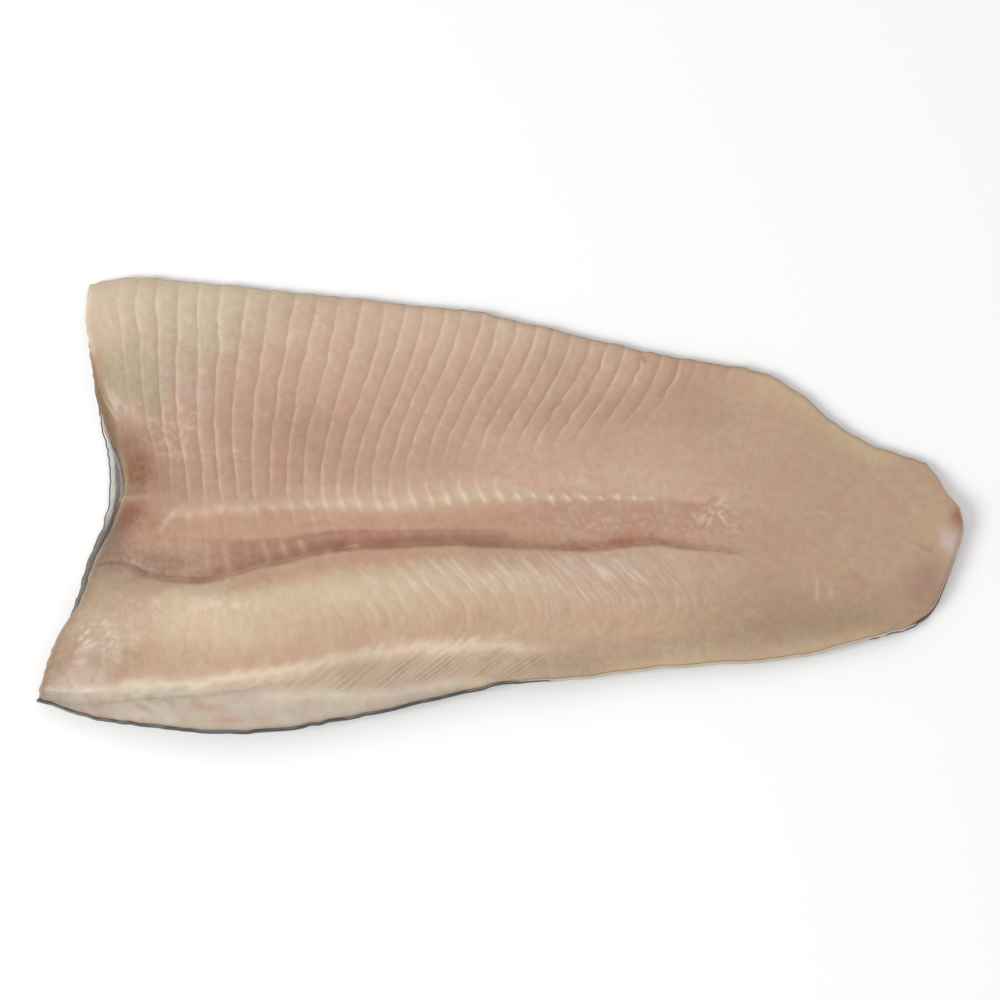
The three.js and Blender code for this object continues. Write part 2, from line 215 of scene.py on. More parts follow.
print("a few waves:", waves(np.arange(4), 0.5, 2.5, seed=1).round(2))

# %% [markdown]
# ## Where the septa run
#
# Seen from above, a septum isn't a straight line across the fillet. In the loin it swings towards the tail
# and back, like the letter V on its side, because a block of muscle is folded like that. On the belly it
# leans towards the tail. These swings are written as distances along x, and they fade out at both cuts,
# where the surface follows the knife instead.

# %% The lean of the septa
LEAN_IN_LOIN = [
    (0, -4), (0.05, 5), (0.09, 12), (0.12, 16.8), (0.163, 19), (0.2, 18.3),
    (0.24, 15.9), (0.28, 12.8), (0.33, 8.8), (0.38, 5.5), (0.44, 2), (0.49, 0),
]
LEAN_IN_BELLY = [
    (0.49, 0), (0.52, -1.2), (0.56, -1.2), (0.64, 0.6), (0.74, 5), (0.84, 9.8), (0.93, 13), (1, 14.5),
]
BOW_IN_BELLY = 1.5  # near the head cut the belly septa bow towards the head instead
EDGE_HOOK = 2.0  # and there the ends of the septa hook back towards the head
LOIN_LEAN_ALONG = [(0, 0.1), (0.12, 0.55), (0.28, 1), (0.6, 1), (1, 0.15)]
BELLY_LEAN_ALONG = [(0, 0), (0.08, 0.1), (0.2, 0.42), (0.32, 0.85), (0.42, 1), (0.62, 1.15), (1, 0.1)]
BELLY_BOW_ALONG = [(0, 0), (0.06, 1), (0.14, 1), (0.3, 0), (1, 0)]
FADE = {"inset": 0.1, "head_cut": 0.3, "tail_cut": 0.25, "lean": 0.06}  # shares of the length
FRAY = {"depth": 0.3, "cell": 1.3, "fade": 0.03}  # the knife leaves the skin's edge a little uneven
HEAD_X = -103.9  # the blocks are counted from here to TAIL_X
TAIL_X = through(TAIL_CUT, LINE_PLACE["fat"])


def lean(along, across):
    """How far a septum leans towards the tail, in mm."""
    in_loin = through(LEAN_IN_LOIN, across) * through(LOIN_LEAN_ALONG, along)
    up = np.clip((across - LINE_PLACE["fat"]) / (1 - LINE_PLACE["fat"]), 0, 1)
    bow = BOW_IN_BELLY * np.sin(np.pi * up) * through(BELLY_BOW_ALONG, along)
    hook = EDGE_HOOK * rising(0.86, 1.04, across) * falling(0.1, 0.26, along)
    in_belly = through(LEAN_IN_BELLY, across) * through(BELLY_LEAN_ALONG, along) - bow - hook
    return np.where(across < LINE_PLACE["fat"], in_loin, in_belly)


def skin_x(along, across):
    """The x of a point of the skin."""
    head = (through(HEAD_CUT, across) - HEAD_X) * falling(0, FADE["head_cut"], along)
    tail = (through(TAIL_CUT, across) - TAIL_X) * rising(1 - FADE["tail_cut"], 1, along)
    free = rising(0, FADE["lean"], along) * falling(1 - FADE["lean"], 1, along)
    frayed = FRAY["depth"] * waves(across * width_at(HEAD_X), 0, FRAY["cell"], seed=55)
    frayed = frayed * falling(0, FRAY["fade"], along)
    return HEAD_X + (TAIL_X - HEAD_X) * along + head + tail + frayed + lean(along, across) * free


HEAD_INSET = [  # mm of skin that show beyond the flesh at the head cut, by the share across
    (0, 0.4), (0.15, 0.5), (0.2, 1.2), (0.235, 2.8), (0.28, 3.3), (0.34, 2.7), (0.39, 2.3), (0.43, 2.9),
    (0.465, 3.4), (0.5, 4.3), (0.53, 4.2), (0.57, 3.5), (0.61, 2.4), (0.66, 1.4), (0.72, 0.6), (1, 0.4),
]
TAIL_INSET = 0.4  # mm


def flesh_x(along, across):
    """The same for the flesh, which ends a little short of the skin at both cuts."""
    head = through(HEAD_INSET, across) * falling(0, FADE["inset"], along)
    return skin_x(along, across) + head - TAIL_INSET * rising(1 - FADE["inset"], 1, along)


PITCH = float((TAIL_X - HEAD_X) / BLOCKS)
print("one block of muscle is", round(PITCH, 2), "mm long")

# %% [markdown]
# ## The skin's own form
#
# The skin lies flat under the fillet and curls up round the back edge of the fish, along part of an
# ellipse. At the head cut its free edge curls up a little. The flesh lies on the same surface, one skin
# thickness further in, so both pieces are made by the same function with another `inset`. It gives rows
# of points, from the belly edge over the flat part and round the back.

# %% The surface under the flesh
BACK_HEIGHT = [(-116, 5.2), (-75, 8.4), (-20, 7.6), (40, 6.2), (85, 4.8), (118, 3.6)]
RIM_TOP_ANGLE = [(-119, 8), (-20, 6), (20, 2), (95, 2), (112, 12)]  # degrees past upright
RIM_WIDTH_TO_HEIGHT = 1.35
CURL = {"height": 1.5, "length": 8, "low": 0.22, "high": 0.8, "soft": 0.16}  # mm, and shares across
SKIN_THICKNESS = 0.8
SEAM = 0.05  # the flesh and the skin have grown together, so hardly any gap is left


def curl(x, across):
    near = 1 - np.clip((x - through(HEAD_CUT, across)) / CURL["length"], 0, 1)
    return CURL["height"] * near**2 * between(CURL["low"], CURL["high"], CURL["soft"], across)


def rim(x):
    """The ellipse that the skin follows round the back: its top angle, height and width."""
    top = np.radians(through(RIM_TOP_ANGLE, x))
    height = through(BACK_HEIGHT, x) / (1 + np.sin(top))
    return top, height, height * RIM_WIDTH_TO_HEIGHT


def under_line(x_of, along, inset, belly_inset, flat_steps, rim_steps):
    """Rows of points from the belly edge over the flat to the rim's top, and how far across they lie.

    x_of gives their x, and the insets are mm from the skin's outer face and from the belly edge.
    """
    rows, places = [], []
    start = x_of(along, np.zeros_like(along))
    top, _, width = rim(start)
    for t in np.linspace(1, 0, flat_steps + 1):
        first = width / width_at(start)
        across = first + (1 - first) * t
        x = x_of(along, across)
        inner_edge = back_edge(x) + rim(x)[2]
        y = inner_edge + (belly_edge(x) - belly_inset - inner_edge) * t
        rows.append(np.stack([x, y, inset + curl(x, across)], -1))
        places.append(across)
    for t in np.linspace(0, 1, rim_steps + 1)[1:]:
        angle = -np.pi / 2 + (top + np.pi / 2) * t
        across = width * (1 - np.cos(angle)) / width_at(start)
        x = x_of(along, across)
        _, high, wide = rim(x)
        y = back_edge(x) + wide - (wide - inset) * np.cos(angle)
        z = high + (high - inset) * np.sin(angle)
        rows.append(np.stack([x, y, z + curl(x, across)], -1))
        places.append(across)
    return np.stack(rows), np.stack(places)  # [row, column, xyz] and [row, column]


probe, _ = under_line(skin_x, np.linspace(0, 1, 201), 0, 0, 8, 12)
low_corner, high_corner = probe.min(axis=(0, 1)), probe.max(axis=(0, 1))
PLAN_CENTRE = np.array([*(low_corner + high_corner)[:2] / 2, 0.0])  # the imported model's origin
print("skin box in mm:", (high_corner - low_corner).round(1), "its centre:", PLAN_CENTRE.round(2))

# %% [markdown]
# ## The cut face of the flesh
#
# The cut face is a smooth landscape first: a thick loin, a crease beside the backbone line, a shelf with
# the line of fat, and the thin belly flap. Only then come the small forms. Each lengthwise line has a
# height for every x, and a smooth curve runs through them from the back to the belly.

# %% The broad form
HEIGHTS = {  # mm above the floor along each line, by x
    "stripe": [(-116, 7.2), (-95, 11.2), (-70, 12.8), (-20, 11.8), (40, 9.2), (85, 6.6), (118, 4.2)],
    "crest": [
        (-113, 8.6), (-104, 13), (-90, 15.4), (-70, 16.4), (-20, 15.4), (40, 12.3), (85, 8.2), (118, 5),
    ],
    "crease": [(-108, 9.6), (-85, 12.8), (-20, 12.4), (40, 11), (70, 9.6), (118, 5.2)],
    "fat": [(-104, 11.2), (-75, 12.4), (-20, 11.8), (40, 10.6), (85, 7.8), (118, 5.2)],
    "belly": [(-108, 5.6), (-75, 6.8), (-20, 7.2), (40, 6.8), (85, 5.6), (118, 4.4)],
    "belly_edge": [(-110, 3.2), (-20, 3.4), (85, 3.2), (118, 2.8)],
}
BELLY_MIDDLE = 0.75  # how far across the "belly" heights lie
BELLY_EDGE_ROUND = 0.98  # from here the belly's edge is rounded
BELLY_EDGE_DROP = 0.6  # share of its height that is left at the very edge
BELLY_INSET = 0.3  # mm of skin that show beyond the flesh there
RIM_BLEND = 0.04  # share across over which the face meets the rim at the back


def broad_height(x, across):
    knots = [(0, through(BACK_HEIGHT, x))]
    for name in ("stripe", "crest", "crease", "fat"):
        knots.append((through(LINES[name], x), through(HEIGHTS[name], x)))
    edge = through(HEIGHTS["belly_edge"], x)
    knots.append((BELLY_MIDDLE, through(HEIGHTS["belly"], x)))
    knots += [(BELLY_EDGE_ROUND, edge), (1, edge * BELLY_EDGE_DROP)]
    return through(knots, across)


loin_and_belly = broad_height(np.full(2, -60.0), np.array([0.28, 0.75]))
print("loin and belly height in mm at x = -60:", loin_and_belly.round(1))

# %% [markdown]
# ## Creases, hollow and knob
#
# A few larger marks of the knife and of the fish's build are cut into the broad form. The crease is a
# valley that is steep on the loin's side, with a shallow fold above it. The hollow is where the flesh
# thins out at the head cut, on both sides of a thin septum, and the belly flap is cut off aslant beside
# it. The knob is the stump of the tail's root. The flesh's edges are rounded, because it is soft.

# %% The larger marks
CREASE_DEPTH = [
    (-106, 0.3), (-93, 0.4), (-84, 1), (-74, 1.8), (-60, 2.3), (10, 2), (40, 1.6), (58, 0.8), (68, 0),
    (118, 0),
]
CREASE_HALF_WIDTH = {"loin": 0.8, "belly": 2.2}  # mm on either side of its deepest line
FOLD_DEPTH = [(-90, 0), (-70, 0.25), (-40, 0.45), (-5, 0.3), (12, 0), (118, 0)]
FOLD_HALF_WIDTH = 0.9
HOLLOW = {"depth": 7, "length": 15, "low": 0.42, "high": 0.64, "soft": 0.13}  # mm, and shares across
HOLLOW_SEPTUM = {"across": 0.485, "width": 0.012, "height": 1.8}
SLANT = {"depth": 2.6, "length": 4, "low": 0.6, "high": 0.76, "soft": 0.1}
EDGE_RADIUS = {"head": 1.8, "tail": 1.2}
TAIL_KNOB = {"x": 116.5, "y": -3.5, "radius": 5, "height": 1.3}
LEAST_FLESH = 1.6  # mm, so that no cut goes through to the skin


def crease_cut(x, across):
    away = (across - through(LINES["crease"], x)) * width_at(x)
    half = np.where(away < 0, CREASE_HALF_WIDTH["loin"], CREASE_HALF_WIDTH["belly"])
    from_fold = (across - through(LINES["fold"], x)) * width_at(x)
    deep = through(CREASE_DEPTH, x) * (1 + 0.25 * waves(x, 0, 4, seed=61))
    return deep * bump_at(away, half) + through(FOLD_DEPTH, x) * bump_at(from_fold, FOLD_HALF_WIDTH)


def from_head_cut(x, across):
    return x - through(HEAD_CUT, across)


def hollow(x, across):
    """1 in the hollow at the head cut, 0 away from it."""
    near = falling(0, HOLLOW["length"], from_head_cut(x, across))
    return near * between(HOLLOW["low"], HOLLOW["high"], HOLLOW["soft"], across)


def head_cut_marks(x, across):
    """How much the hollow and the slant take away."""
    septum = bump_at(across - HOLLOW_SEPTUM["across"], HOLLOW_SEPTUM["width"])
    slant = falling(0, SLANT["length"], from_head_cut(x, across))
    slant = slant * between(SLANT["low"], SLANT["high"], SLANT["soft"], across)
    return hollow(x, across) * (HOLLOW["depth"] - HOLLOW_SEPTUM["height"] * septum) + SLANT["depth"] * slant


def rounding(distance, radius):
    """How far a rounded edge lies below a sharp one."""
    inward = np.clip(radius - distance, 0, radius)
    return radius - np.sqrt(radius**2 - inward**2)


def knob(x, y):
    away = np.hypot(x - TAIL_KNOB["x"], y - TAIL_KNOB["y"]) / TAIL_KNOB["radius"]
    return TAIL_KNOB["height"] * np.exp(-away * away)


print("the hollow takes", HOLLOW["depth"], "mm, the crease up to", max(depth for _, depth in CREASE_DEPTH))

# %% [markdown]
# ## Bands and their strengths
#
# The same septum looks different from band to band: a clear step on the belly, a faint line on the strip
# beside the fat line, a soft one on the loin, and two short strokes to each block in the small fin
# muscles below the fat stripe. A mask for each band says where it lies and how clearly its lines show.
# The masks shape the relief first, and later they are stored on the mesh for the material.

# %% Masks of the bands
BELLY_LINES_FROM = [  # how far across they start, by x
    (-100, 0.49), (-60, 0.49), (-38, 0.53), (-13, 0.6), (8, 0.645), (27, 0.72), (38, 0.78), (52, 0.93),
    (118, 1.2),
]
WHITE_FAT_UP_TO = [  # how far across the white fat of the back reaches, by x
    (-119, 0.03), (-95, 0.064), (-78, 0.089), (-52, 0.08), (-39, 0.06), (-25, 0.045), (-13, 0.04),
    (12, -0.02), (118, -0.02),
]


def band_masks(x, across):
    """Where each band lies, and how clearly its lines show: about 0 to 1."""
    stripe, crease, fat = (through(LINES[name], x) for name in ("stripe", "crease", "fat"))
    wide = width_at(x)
    start = rising(2, 20, from_head_cut(x, across) - 5 * between(0.4, 0.6, 0.08, across))
    on_belly = rising(fat + 0.005, fat + 0.03, across) * (1 - 0.35 * rising(0.92, 1, across))
    belly_lines = rising(-0.06, 0.08, across - through(BELLY_LINES_FROM, x))
    on_strip = rising(crease, crease + 0.02, across) * falling(fat - 0.02, fat, across)
    above_white_fat = rising(-0.01, 0.01, across - through(WHITE_FAT_UP_TO, x))
    on_fin = above_white_fat * falling(stripe - 0.03, stripe - 0.01, across)
    on_loin = rising(stripe + 0.01, stripe + 0.03, across) * falling(crease - 0.05, crease - 0.01, across)
    at_crest = 0.45 + 0.55 * between(0.2, 0.27, 0.04, across)
    loin_lines = (0.5 + 0.5 * rising(-45, -10, x)) * rising(-100, -70, x) * falling(40, 66, x)
    above_crest = between(0.27, 0.325, 0.03, across)
    return {
        "belly": on_belly * belly_lines * (1 + 0.45 * rising(-20, 15, x)) * start,
        "strip": on_strip * start * (1 - 0.85 * rising(-30, 5, x)) * falling(48, 62, x),
        "loin": on_loin * at_crest * loin_lines,
        "wisp": on_loin * above_crest * rising(-50, -16, x) * falling(36, 58, x),
        "fin": on_fin * rising(-72, -50, x) * falling(8, 22, x),
        "fat_line": bump_at((across - fat) * wide, 1.25) * falling(40, 50, x) * start,
        "stripe": bump_at((across - stripe) * wide, 1.4) * falling(5, 30, x) * rising(-112, -98, x),
    }


belly_lines = band_masks(np.zeros(5), np.linspace(0.5, 1, 5))["belly"]
print("belly lines at x = 0, from the fat line to the edge:", belly_lines.round(2))

# %% [markdown]
# ## Relief of the muscle blocks
#
# When a raw fillet rests, each block of muscle sags a little and stands above the end of the one before
# it. So a block is a low step that rises quickly at its septum and sinks slowly to the next, with a thin
# groove at the septum and a slight bulge between. The step is what catches the low light, and the belly
# has by far the highest. The fin muscles have rounded strokes instead.

# %% Steps, grooves and strokes
STEP = {"belly": 0.33, "strip": 0.025, "loin": 0.05}  # mm that a block stands above the one before it
GROOVE = {"belly": 0.06, "strip": 0.02, "loin": 0.015, "fin": 0.05}  # mm deep
CROWN = {"belly": 0.1, "strip": 0.02, "loin": 0.03}  # mm that a block bulges between grooves
RISE = 1.4  # mm over which the step rises
GROOVE_WIDTH = {"head_side": 0.5, "tail_side": 0.25}  # mm


def fin_strokes(count, across):
    """1 on each of the two strokes to a block, 0 between them. They are shifted a little, out of step."""
    shifted = count + 0.16 * waves(count, across, (0.9, 0.035), seed=12)
    return 0.5 + 0.5 * np.cos(4 * np.pi * shifted)


def block_relief(count, across, masks):
    """Steps, grooves and crowns in mm. count is the number of blocks from the head cut."""
    phase = count - np.floor(count)
    past, ahead = phase * PITCH, (1 - phase) * PITCH
    step = 1 - (1 - np.clip(past / RISE, 0, 1)) ** 2 - phase
    groove = np.maximum(bump_at(past, GROOVE_WIDTH["tail_side"]), bump_at(ahead, GROOVE_WIDTH["head_side"]))
    crown = 4 * phase * (1 - phase)
    uneven = 1 + 0.6 * waves(count, across, (1.0, 0.05), seed=11)

    def over(sizes):
        return sum(masks[name] * sizes[name] for name in ("belly", "strip", "loin"))

    blocks = (over(STEP) * step - over(GROOVE) * groove) * uneven + over(CROWN) * crown
    return blocks - masks["fin"] * GROOVE["fin"] * fin_strokes(count, across)


print("steps in mm:", STEP)

# %% [markdown]
# ## The flesh as one grid
#
# The cut face is a grid whose columns are septa and whose rows follow the lengthwise lines. The columns
# crowd together at each groove, so a groove a third of a millimetre wide stays crisp without a fine grid
# everywhere. A little wander is added to the columns themselves, so the grooves stay on them. The
# underside needs few rows, and both ends are closed, so the flesh is one watertight solid.

# %% Rows and columns of the cut face
GROOVE_PHASES = [0, 0.05, 0.1, 0.17, 0.27, 0.38, 0.5, 0.62, 0.75, 0.87, 0.95]  # columns in a block
SMOOTH_PHASES = [0, 0.2, 0.4, 0.6, 0.8]
GROOVED_BLOCKS = 36  # the blocks behind them are smooth
BAND_ROWS = [("stripe", 18), ("crest", 28), ("crease", 26), ("fat", 28), ("edge", 74), ("end", 4)]


def column_places():
    grooved = [block + phase for block in range(GROOVED_BLOCKS) for phase in GROOVE_PHASES]
    smooth = [block + phase for block in range(GROOVED_BLOCKS, BLOCKS) for phase in SMOOTH_PHASES]
    return np.array([*grooved, *smooth, BLOCKS]) / BLOCKS


def row_places(along):
    """Places across the fillet, [row, column], gathered on the lengthwise lines."""
    ends = {}
    for name, place in LINE_PLACE.items():
        ends[name] = through(LINES[name], flesh_x(along, np.full_like(along, place)))
    ends["edge"] = np.full_like(along, BELLY_EDGE_ROUND)
    ends["end"] = np.ones_like(along)
    rows, start = [], np.zeros_like(along)
    for name, count in BAND_ROWS:
        rows += [start + (ends[name] - start) * k / count for k in range(count)]
        start = ends[name]
    return np.stack([*rows, start])


ALONG = column_places()
ACROSS = row_places(ALONG)
print("grid of the cut face:", ACROSS.shape[0], "rows,", ACROSS.shape[1], "columns")

# %% [markdown]
# The smallest forms come last: the fat line and its beads stand up a little, and the whole face has
# shallow dents and a fine pebbling, most of it on the belly flap. Bump in the material would be cheaper,
# but a form that shows belongs in the mesh.

# %% The whole cut face
WANDER = {"slow": 0.09, "quick": 0.055}  # of the septa, as shares of a block
FAT_RIDGE = {"line": 0.28, "bead": 0.18, "stripe": 0.25}  # mm high


def fine_forms(count, across, x, y, masks):
    """Beads on the fat line, the raised fat stripe, dents and pebbles, in mm."""
    bead = 0.5 + 0.5 * np.cos(2 * np.pi * (count - 0.1))
    fat_ridge = masks["fat_line"] * (FAT_RIDGE["line"] + FAT_RIDGE["bead"] * bead)
    stripe_ridge = masks["stripe"] * FAT_RIDGE["stripe"]
    dents = unevenness(x, y, [(0.2, 11, 5), (0.1, 4.5, 6)])
    on_flap = between(0.66, 0.9, 0.1, across) * falling(10, 50, x)
    pebbles = unevenness(x, y, [(0.045, 1.9, 7), (0.04, 1.3, 8)]) * (0.5 + 1.7 * on_flap)
    calm = rising(0, 0.03, across) * falling(0.96, 1, across)
    return fat_ridge + stripe_ridge + (dents + pebbles) * calm


def cut_face(along, across):
    """Points of the cut face in mm, and the band masks there."""
    count = along * BLOCKS
    free = rising(0, 2, count) * falling(BLOCKS - 2, BLOCKS, count)
    slow = WANDER["slow"] * waves(count, across, (0.9, 0.16), seed=3)
    quick = WANDER["quick"] * waves(count, across, (0.7, 0.026), seed=4)
    x = flesh_x(along + free * (slow + quick) / BLOCKS, across)
    top, rim_height, rim_width = rim(x)
    inside = SKIN_THICKNESS + SEAM
    back = back_edge(x) + rim_width - (rim_width - inside) * np.cos(top)
    y = back + (belly_edge(x) - BELLY_INSET - back) * across
    at_rim = rim_height + (rim_height - inside) * np.sin(top)
    base = broad_height(x, across) - (through(BACK_HEIGHT, x) - at_rim) * falling(0, RIM_BLEND, across)
    masks = band_masks(x, across)
    fine = block_relief(count, across, masks) + fine_forms(count, across, x, y, masks)
    z = base - crease_cut(x, across) - head_cut_marks(x, across) + knob(x, y) + fine
    head_distance = from_head_cut(x, across) - through(HEAD_INSET, across)
    tail_distance = through(TAIL_CUT, across) - TAIL_INSET - x
    z -= rounding(head_distance, EDGE_RADIUS["head"]) + rounding(tail_distance, EDGE_RADIUS["tail"])
    least = inside + LEAST_FLESH + curl(x, across)
    return np.stack([x, y, np.maximum(z, least)], -1), masks


top_points, masks = cut_face(np.broadcast_to(ALONG, ACROSS.shape), ACROSS)
print("highest point of the cut face:", top_points[..., 2].max().round(1), "mm")

# %% [markdown]
# ## Turning rings of points into a closed mesh
#
# A ring goes once round a cross-section: over the cut face and back underneath. Rings side by side are
# joined by four-sided faces, and both ends are filled between the upper and the lower points. Points of
# a ring that belong together are matched by their share of the way, so the end faces stay regular.

# %% Rings to mesh
def shares(points):
    """How far along a line of points each of them lies, from 0 to 1."""
    reach = np.concatenate([[0], np.cumsum(np.linalg.norm(np.diff(points, axis=0), axis=1))])
    return reach / reach[-1]


def end_faces(ring, upper_count):
    """Triangles that fill one ring, between its first upper_count points and the rest."""
    upper = list(range(upper_count))
    lower = list(range(upper_count, len(ring)))[::-1]
    upper_at, lower_at = [*shares(ring[upper]), np.inf], [*shares(ring[lower]), np.inf]
    faces, i, j = [], 0, 0
    while i + j < len(ring) - 2:
        if upper_at[i + 1] <= lower_at[j + 1]:
            faces.append((upper[i], upper[i + 1], lower[j]))
            i += 1
        else:
            faces.append((upper[i], lower[j + 1], lower[j]))
            j += 1
    return faces


def add_object(name, data):
    """Puts a mesh, light or camera into the scene."""
    made = bpy.data.objects.new(name, data)
    bpy.context.scene.collection.objects.link(made)
    return made


def loft(name, rings, upper_count):
    """A closed mesh from rings [point, ring, xyz] in mm."""
    size, count = rings.shape[:2]
    points = (rings - PLAN_CENTRE) * MM
    index = np.arange(size * count).reshape(size, count)
    after = np.roll(index, -1, axis=0)
    sides = np.stack([index[:, :-1], index[:, 1:], after[:, 1:], after[:, :-1]], -1).reshape(-1, 4)
    first = [[index[k, 0] for k in face] for face in end_faces(rings[:, 0], upper_count)]
    last = [[index[k, -1] for k in face[::-1]] for face in end_faces(rings[:, -1], upper_count)]
    mesh = bpy.data.meshes.new(name)
    mesh.from_pydata(points.reshape(-1, 3).tolist(), [], sides.tolist() + first + last)
    mesh.shade_smooth()
    return add_object(name, mesh)


def store(piece, name, values, kind="FLOAT"):
    """Keeps one value, or one colour, for every vertex."""
    attribute = piece.data.attributes.new(name, kind, "POINT")
    field = "color" if kind == "FLOAT_COLOR" else "value"
    attribute.data.foreach_set(field, np.ascontiguousarray(values, np.float32).ravel())


under_points, under_across = under_line(flesh_x, ALONG, SKIN_THICKNESS + SEAM, BELLY_INSET, 12, 12)
under_points, under_across = under_points[:-1], under_across[:-1]
flesh = loft("trout_flesh", np.concatenate([top_points, under_points]), len(top_points))
print("flesh:", len(flesh.data.vertices), "points,", len(flesh.data.polygons), "faces")

# %% [markdown]
# ## Zones of colour
#
# Raw trout flesh is pale beige and pink, but no two places have quite the same tint: yellowish where the
# loin is thick, mauve near the backbone, olive where the belly lining was, brown-red in the hollow. Some
# zones also stand for light and shade: painted light on the loin's crest, painted shade in and beside the
# crease and near the head cut, and painted highlights. The tint is worked out for every point as a stack
# of soft zones, each with one named colour, and stored as a colour attribute. A painted image would do
# the same, but these zones can be changed one by one.

# %% Named tints
def linear(seen):
    """A colour as seen on a screen, 0 to 255, as linear values."""
    c = np.array(seen) / 255
    return np.where(c <= 0.04045, c / 12.92, ((c + 0.055) / 1.055) ** 2.4)


# The mauve and crease tints are partly painted shade, the loin crest tint is partly painted light, and the
# cut rim tint is painted shade.
SEEN_TINT = {
    "belly": (200, 166, 144), "belly_edge": (208, 181, 158), "belly_root": (184, 149, 128),
    "belly_pink": (184, 148, 130), "belly_pale": (210, 180, 156), "lining": (190, 172, 146),
    "lining_pale": (208, 192, 168), "lilac": (194, 172, 162), "strip": (190, 151, 127),
    "mauve": (162, 120, 104), "stria": (200, 170, 156), "fat": (224, 208, 186), "crease": (150, 104, 82),
    "blood": (166, 104, 74), "loin": (194, 163, 138), "loin_crest_lit": (207, 187, 160),
    "loin_head": (186, 158, 134), "ochre": (182, 148, 117), "fin": (198, 176, 156),
    "fin_dark": (170, 146, 123), "back_fat": (188, 172, 156), "back_fat_pale": (198, 186, 174),
    "back_streak": (166, 150, 128), "hollow": (150, 97, 68), "hollow_rim": (158, 122, 92),
    "under_hollow": (152, 98, 72), "slant": (174, 144, 112), "tail": (188, 157, 132),
    "tail_low": (165, 141, 114), "tail_pink": (186, 151, 131), "tail_bruise": (158, 124, 112),
    "tail_red": (156, 100, 80), "tail_pale": (208, 184, 182), "tail_edge": (200, 174, 142),
    "glint": (244, 226, 212), "edge": (150, 128, 108), "cut_edge_shade": (160, 132, 100),
}
TINT = {name: linear(seen) for name, seen in SEEN_TINT.items()}
print(len(TINT), "tints; the belly's, linear:", TINT["belly"].round(3))

# %% [markdown]
# ## Laying one tint over another
#
# A zone is laid like a thin wash of paint: at each point the tint moves towards the zone's colour by a
# share from 0 to 1. A later wash covers an earlier one, so the order matters. Most zones are bands beside
# a lengthwise line or soft ovals, and both have a short helper. The belly's tint is the ground of all.

# %% Places and washes
all_points = np.concatenate([top_points, under_points])
x, y = all_points[..., 0], all_points[..., 1]
across = np.concatenate([ACROSS, under_across])
count = np.broadcast_to(ALONG * BLOCKS, across.shape)
wide = width_at(x)
line = {name: through(knots, x) for name, knots in LINES.items()}
tint = np.broadcast_to(TINT["belly"], (*x.shape, 3)).copy()


def lay(name, share):
    """Lays one tint over what is there, by a share for each point."""
    tint[:] += (TINT[name] - tint) * np.clip(share, 0, 1)[..., None]


def ovals(*spots):
    """The sum of soft ovals. Each is its middle's x and y and its size in x and y, in mm, and a share."""
    return sum(share * patch(x, y, (at_x, at_y), (long, broad)) for at_x, at_y, long, broad, share in spots)


def lay_ovals(*layers, inside=1):
    """Lays patches, each a tint and its ovals, where inside is 1."""
    for name, *spots in layers:
        lay(name, inside * ovals(*spots))


def beside(name, shift=0.0):
    """Distance in mm from a lengthwise line. A shift moves the line, as a share of the width."""
    return (across - line[name] - shift) * wide


def from_septum(shift=0.0, times=1):
    """Distance from the nearest septum, in blocks. With times 2 there is a line at each half block too."""
    return (times * count + shift + 0.5) % 1 - 0.5


def print_tint(step):
    print("mean tint after the", step, tint[: len(top_points)].mean(axis=(0, 1)).round(3))


print_tint("ground")

# %% [markdown]
# The belly is browner and pinker at its root, beside the fat line, and paler at its rim. The corner by the
# head cut is olive and almost white, because the lining of the belly lay there. Its edge wanders.

# %% Tint of the belly
LINING_EDGE = [
    (-101.6, 24), (-89, 28), (-84, 35), (-77.7, 40), (-69, 44), (-63, 48), (-54, 53), (-40, 62),
]
lay("belly_pink", ovals((-54, 20, 24, 9, 1), (-12, 12, 24, 5, 0.4)) + 0.25 * waves(x, y, 14, seed=31))
lay("belly_root", bump_at(across - line["fat"] - 0.075, 0.06) * falling(-50, 10, x) * 0.8)
lay_ovals(
    ("belly_root", (24, 24, 46, 6, 0.6), (-74, 24, 7, 14, 0.4)),
    ("belly_pale", (30, 5, 50, 5, 0.3)),
)
lay("belly_edge", rising(0.8, 0.95, across) * falling(0, 50, x))
from_lining = y - through(LINING_EDGE, x)
lining = rising(-2.5, 3.5, from_lining - 2 * waves(x, y, 7, seed=21))
lay("lining", rising(-12, 2, from_lining) * 0.55 * rising(-96, -80, x))
lay("lining", lining + ovals((-64, 40, 8, 7, 0.35)))
lay("lining_pale", lining * ovals((-104, 56, 8, 14, 0.6), (-82, 55, 34, 11, 1)))
lay_ovals(
    ("belly_pale", (-54, 48, 16, 6, 0.6)),
    ("lilac", (-83, 32, 7, 4, 0.45), (-76, 27, 5, 5, 0.3)),
)
print_tint("belly")

# %% [markdown]
# The strip between the crease and the fat line is pinker. Beside the crease runs a mauve band, where the
# backbone lay, darker than the strip: partly its own mauve and partly painted shade between the crease and
# the fold. Short pale striae run across it. Behind the middle they stand twice as close.

# %% Tint of the strip
on_strip = rising(-0.01, 0.02, across - line["crease"]) * falling(-0.02, 0.02, across - line["fat"])
lay("strip", on_strip)
# The mauve band is partly the flesh's own mauve and partly painted shade between the crease and the fold.
mauve_and_shade_share = 0.75 * falling(-4, 14, x) * rising(-80, -64, x) + 0.15 * between(-72, -52, 8, x)
from_crease, to_fold = line["crease"] + 0.012, line["fold"] - 0.012
lay("mauve", between(from_crease, to_fold, 0.02, across) * mauve_and_shade_share)
lay_ovals(("mauve", (36, -6, 30, 5, 0.5)), inside=on_strip)
lay("tail_pink", on_strip * rising(0, 25, x) * 0.45)
to_block = np.where(x > 10, 2, 1)
stria = bump_at(from_septum(times=to_block), 0.16) * (0.5 + 0.5 * waves(count, 0, 0.5, seed=35))
lay("stria", stria * between(from_crease, to_fold, 0.015, across) * between(-72, -52, 6, x) * 0.7)
lay_ovals(("stria", (33, -5, 22, 3, 0.4)), inside=stria * on_strip)
print_tint("strip")
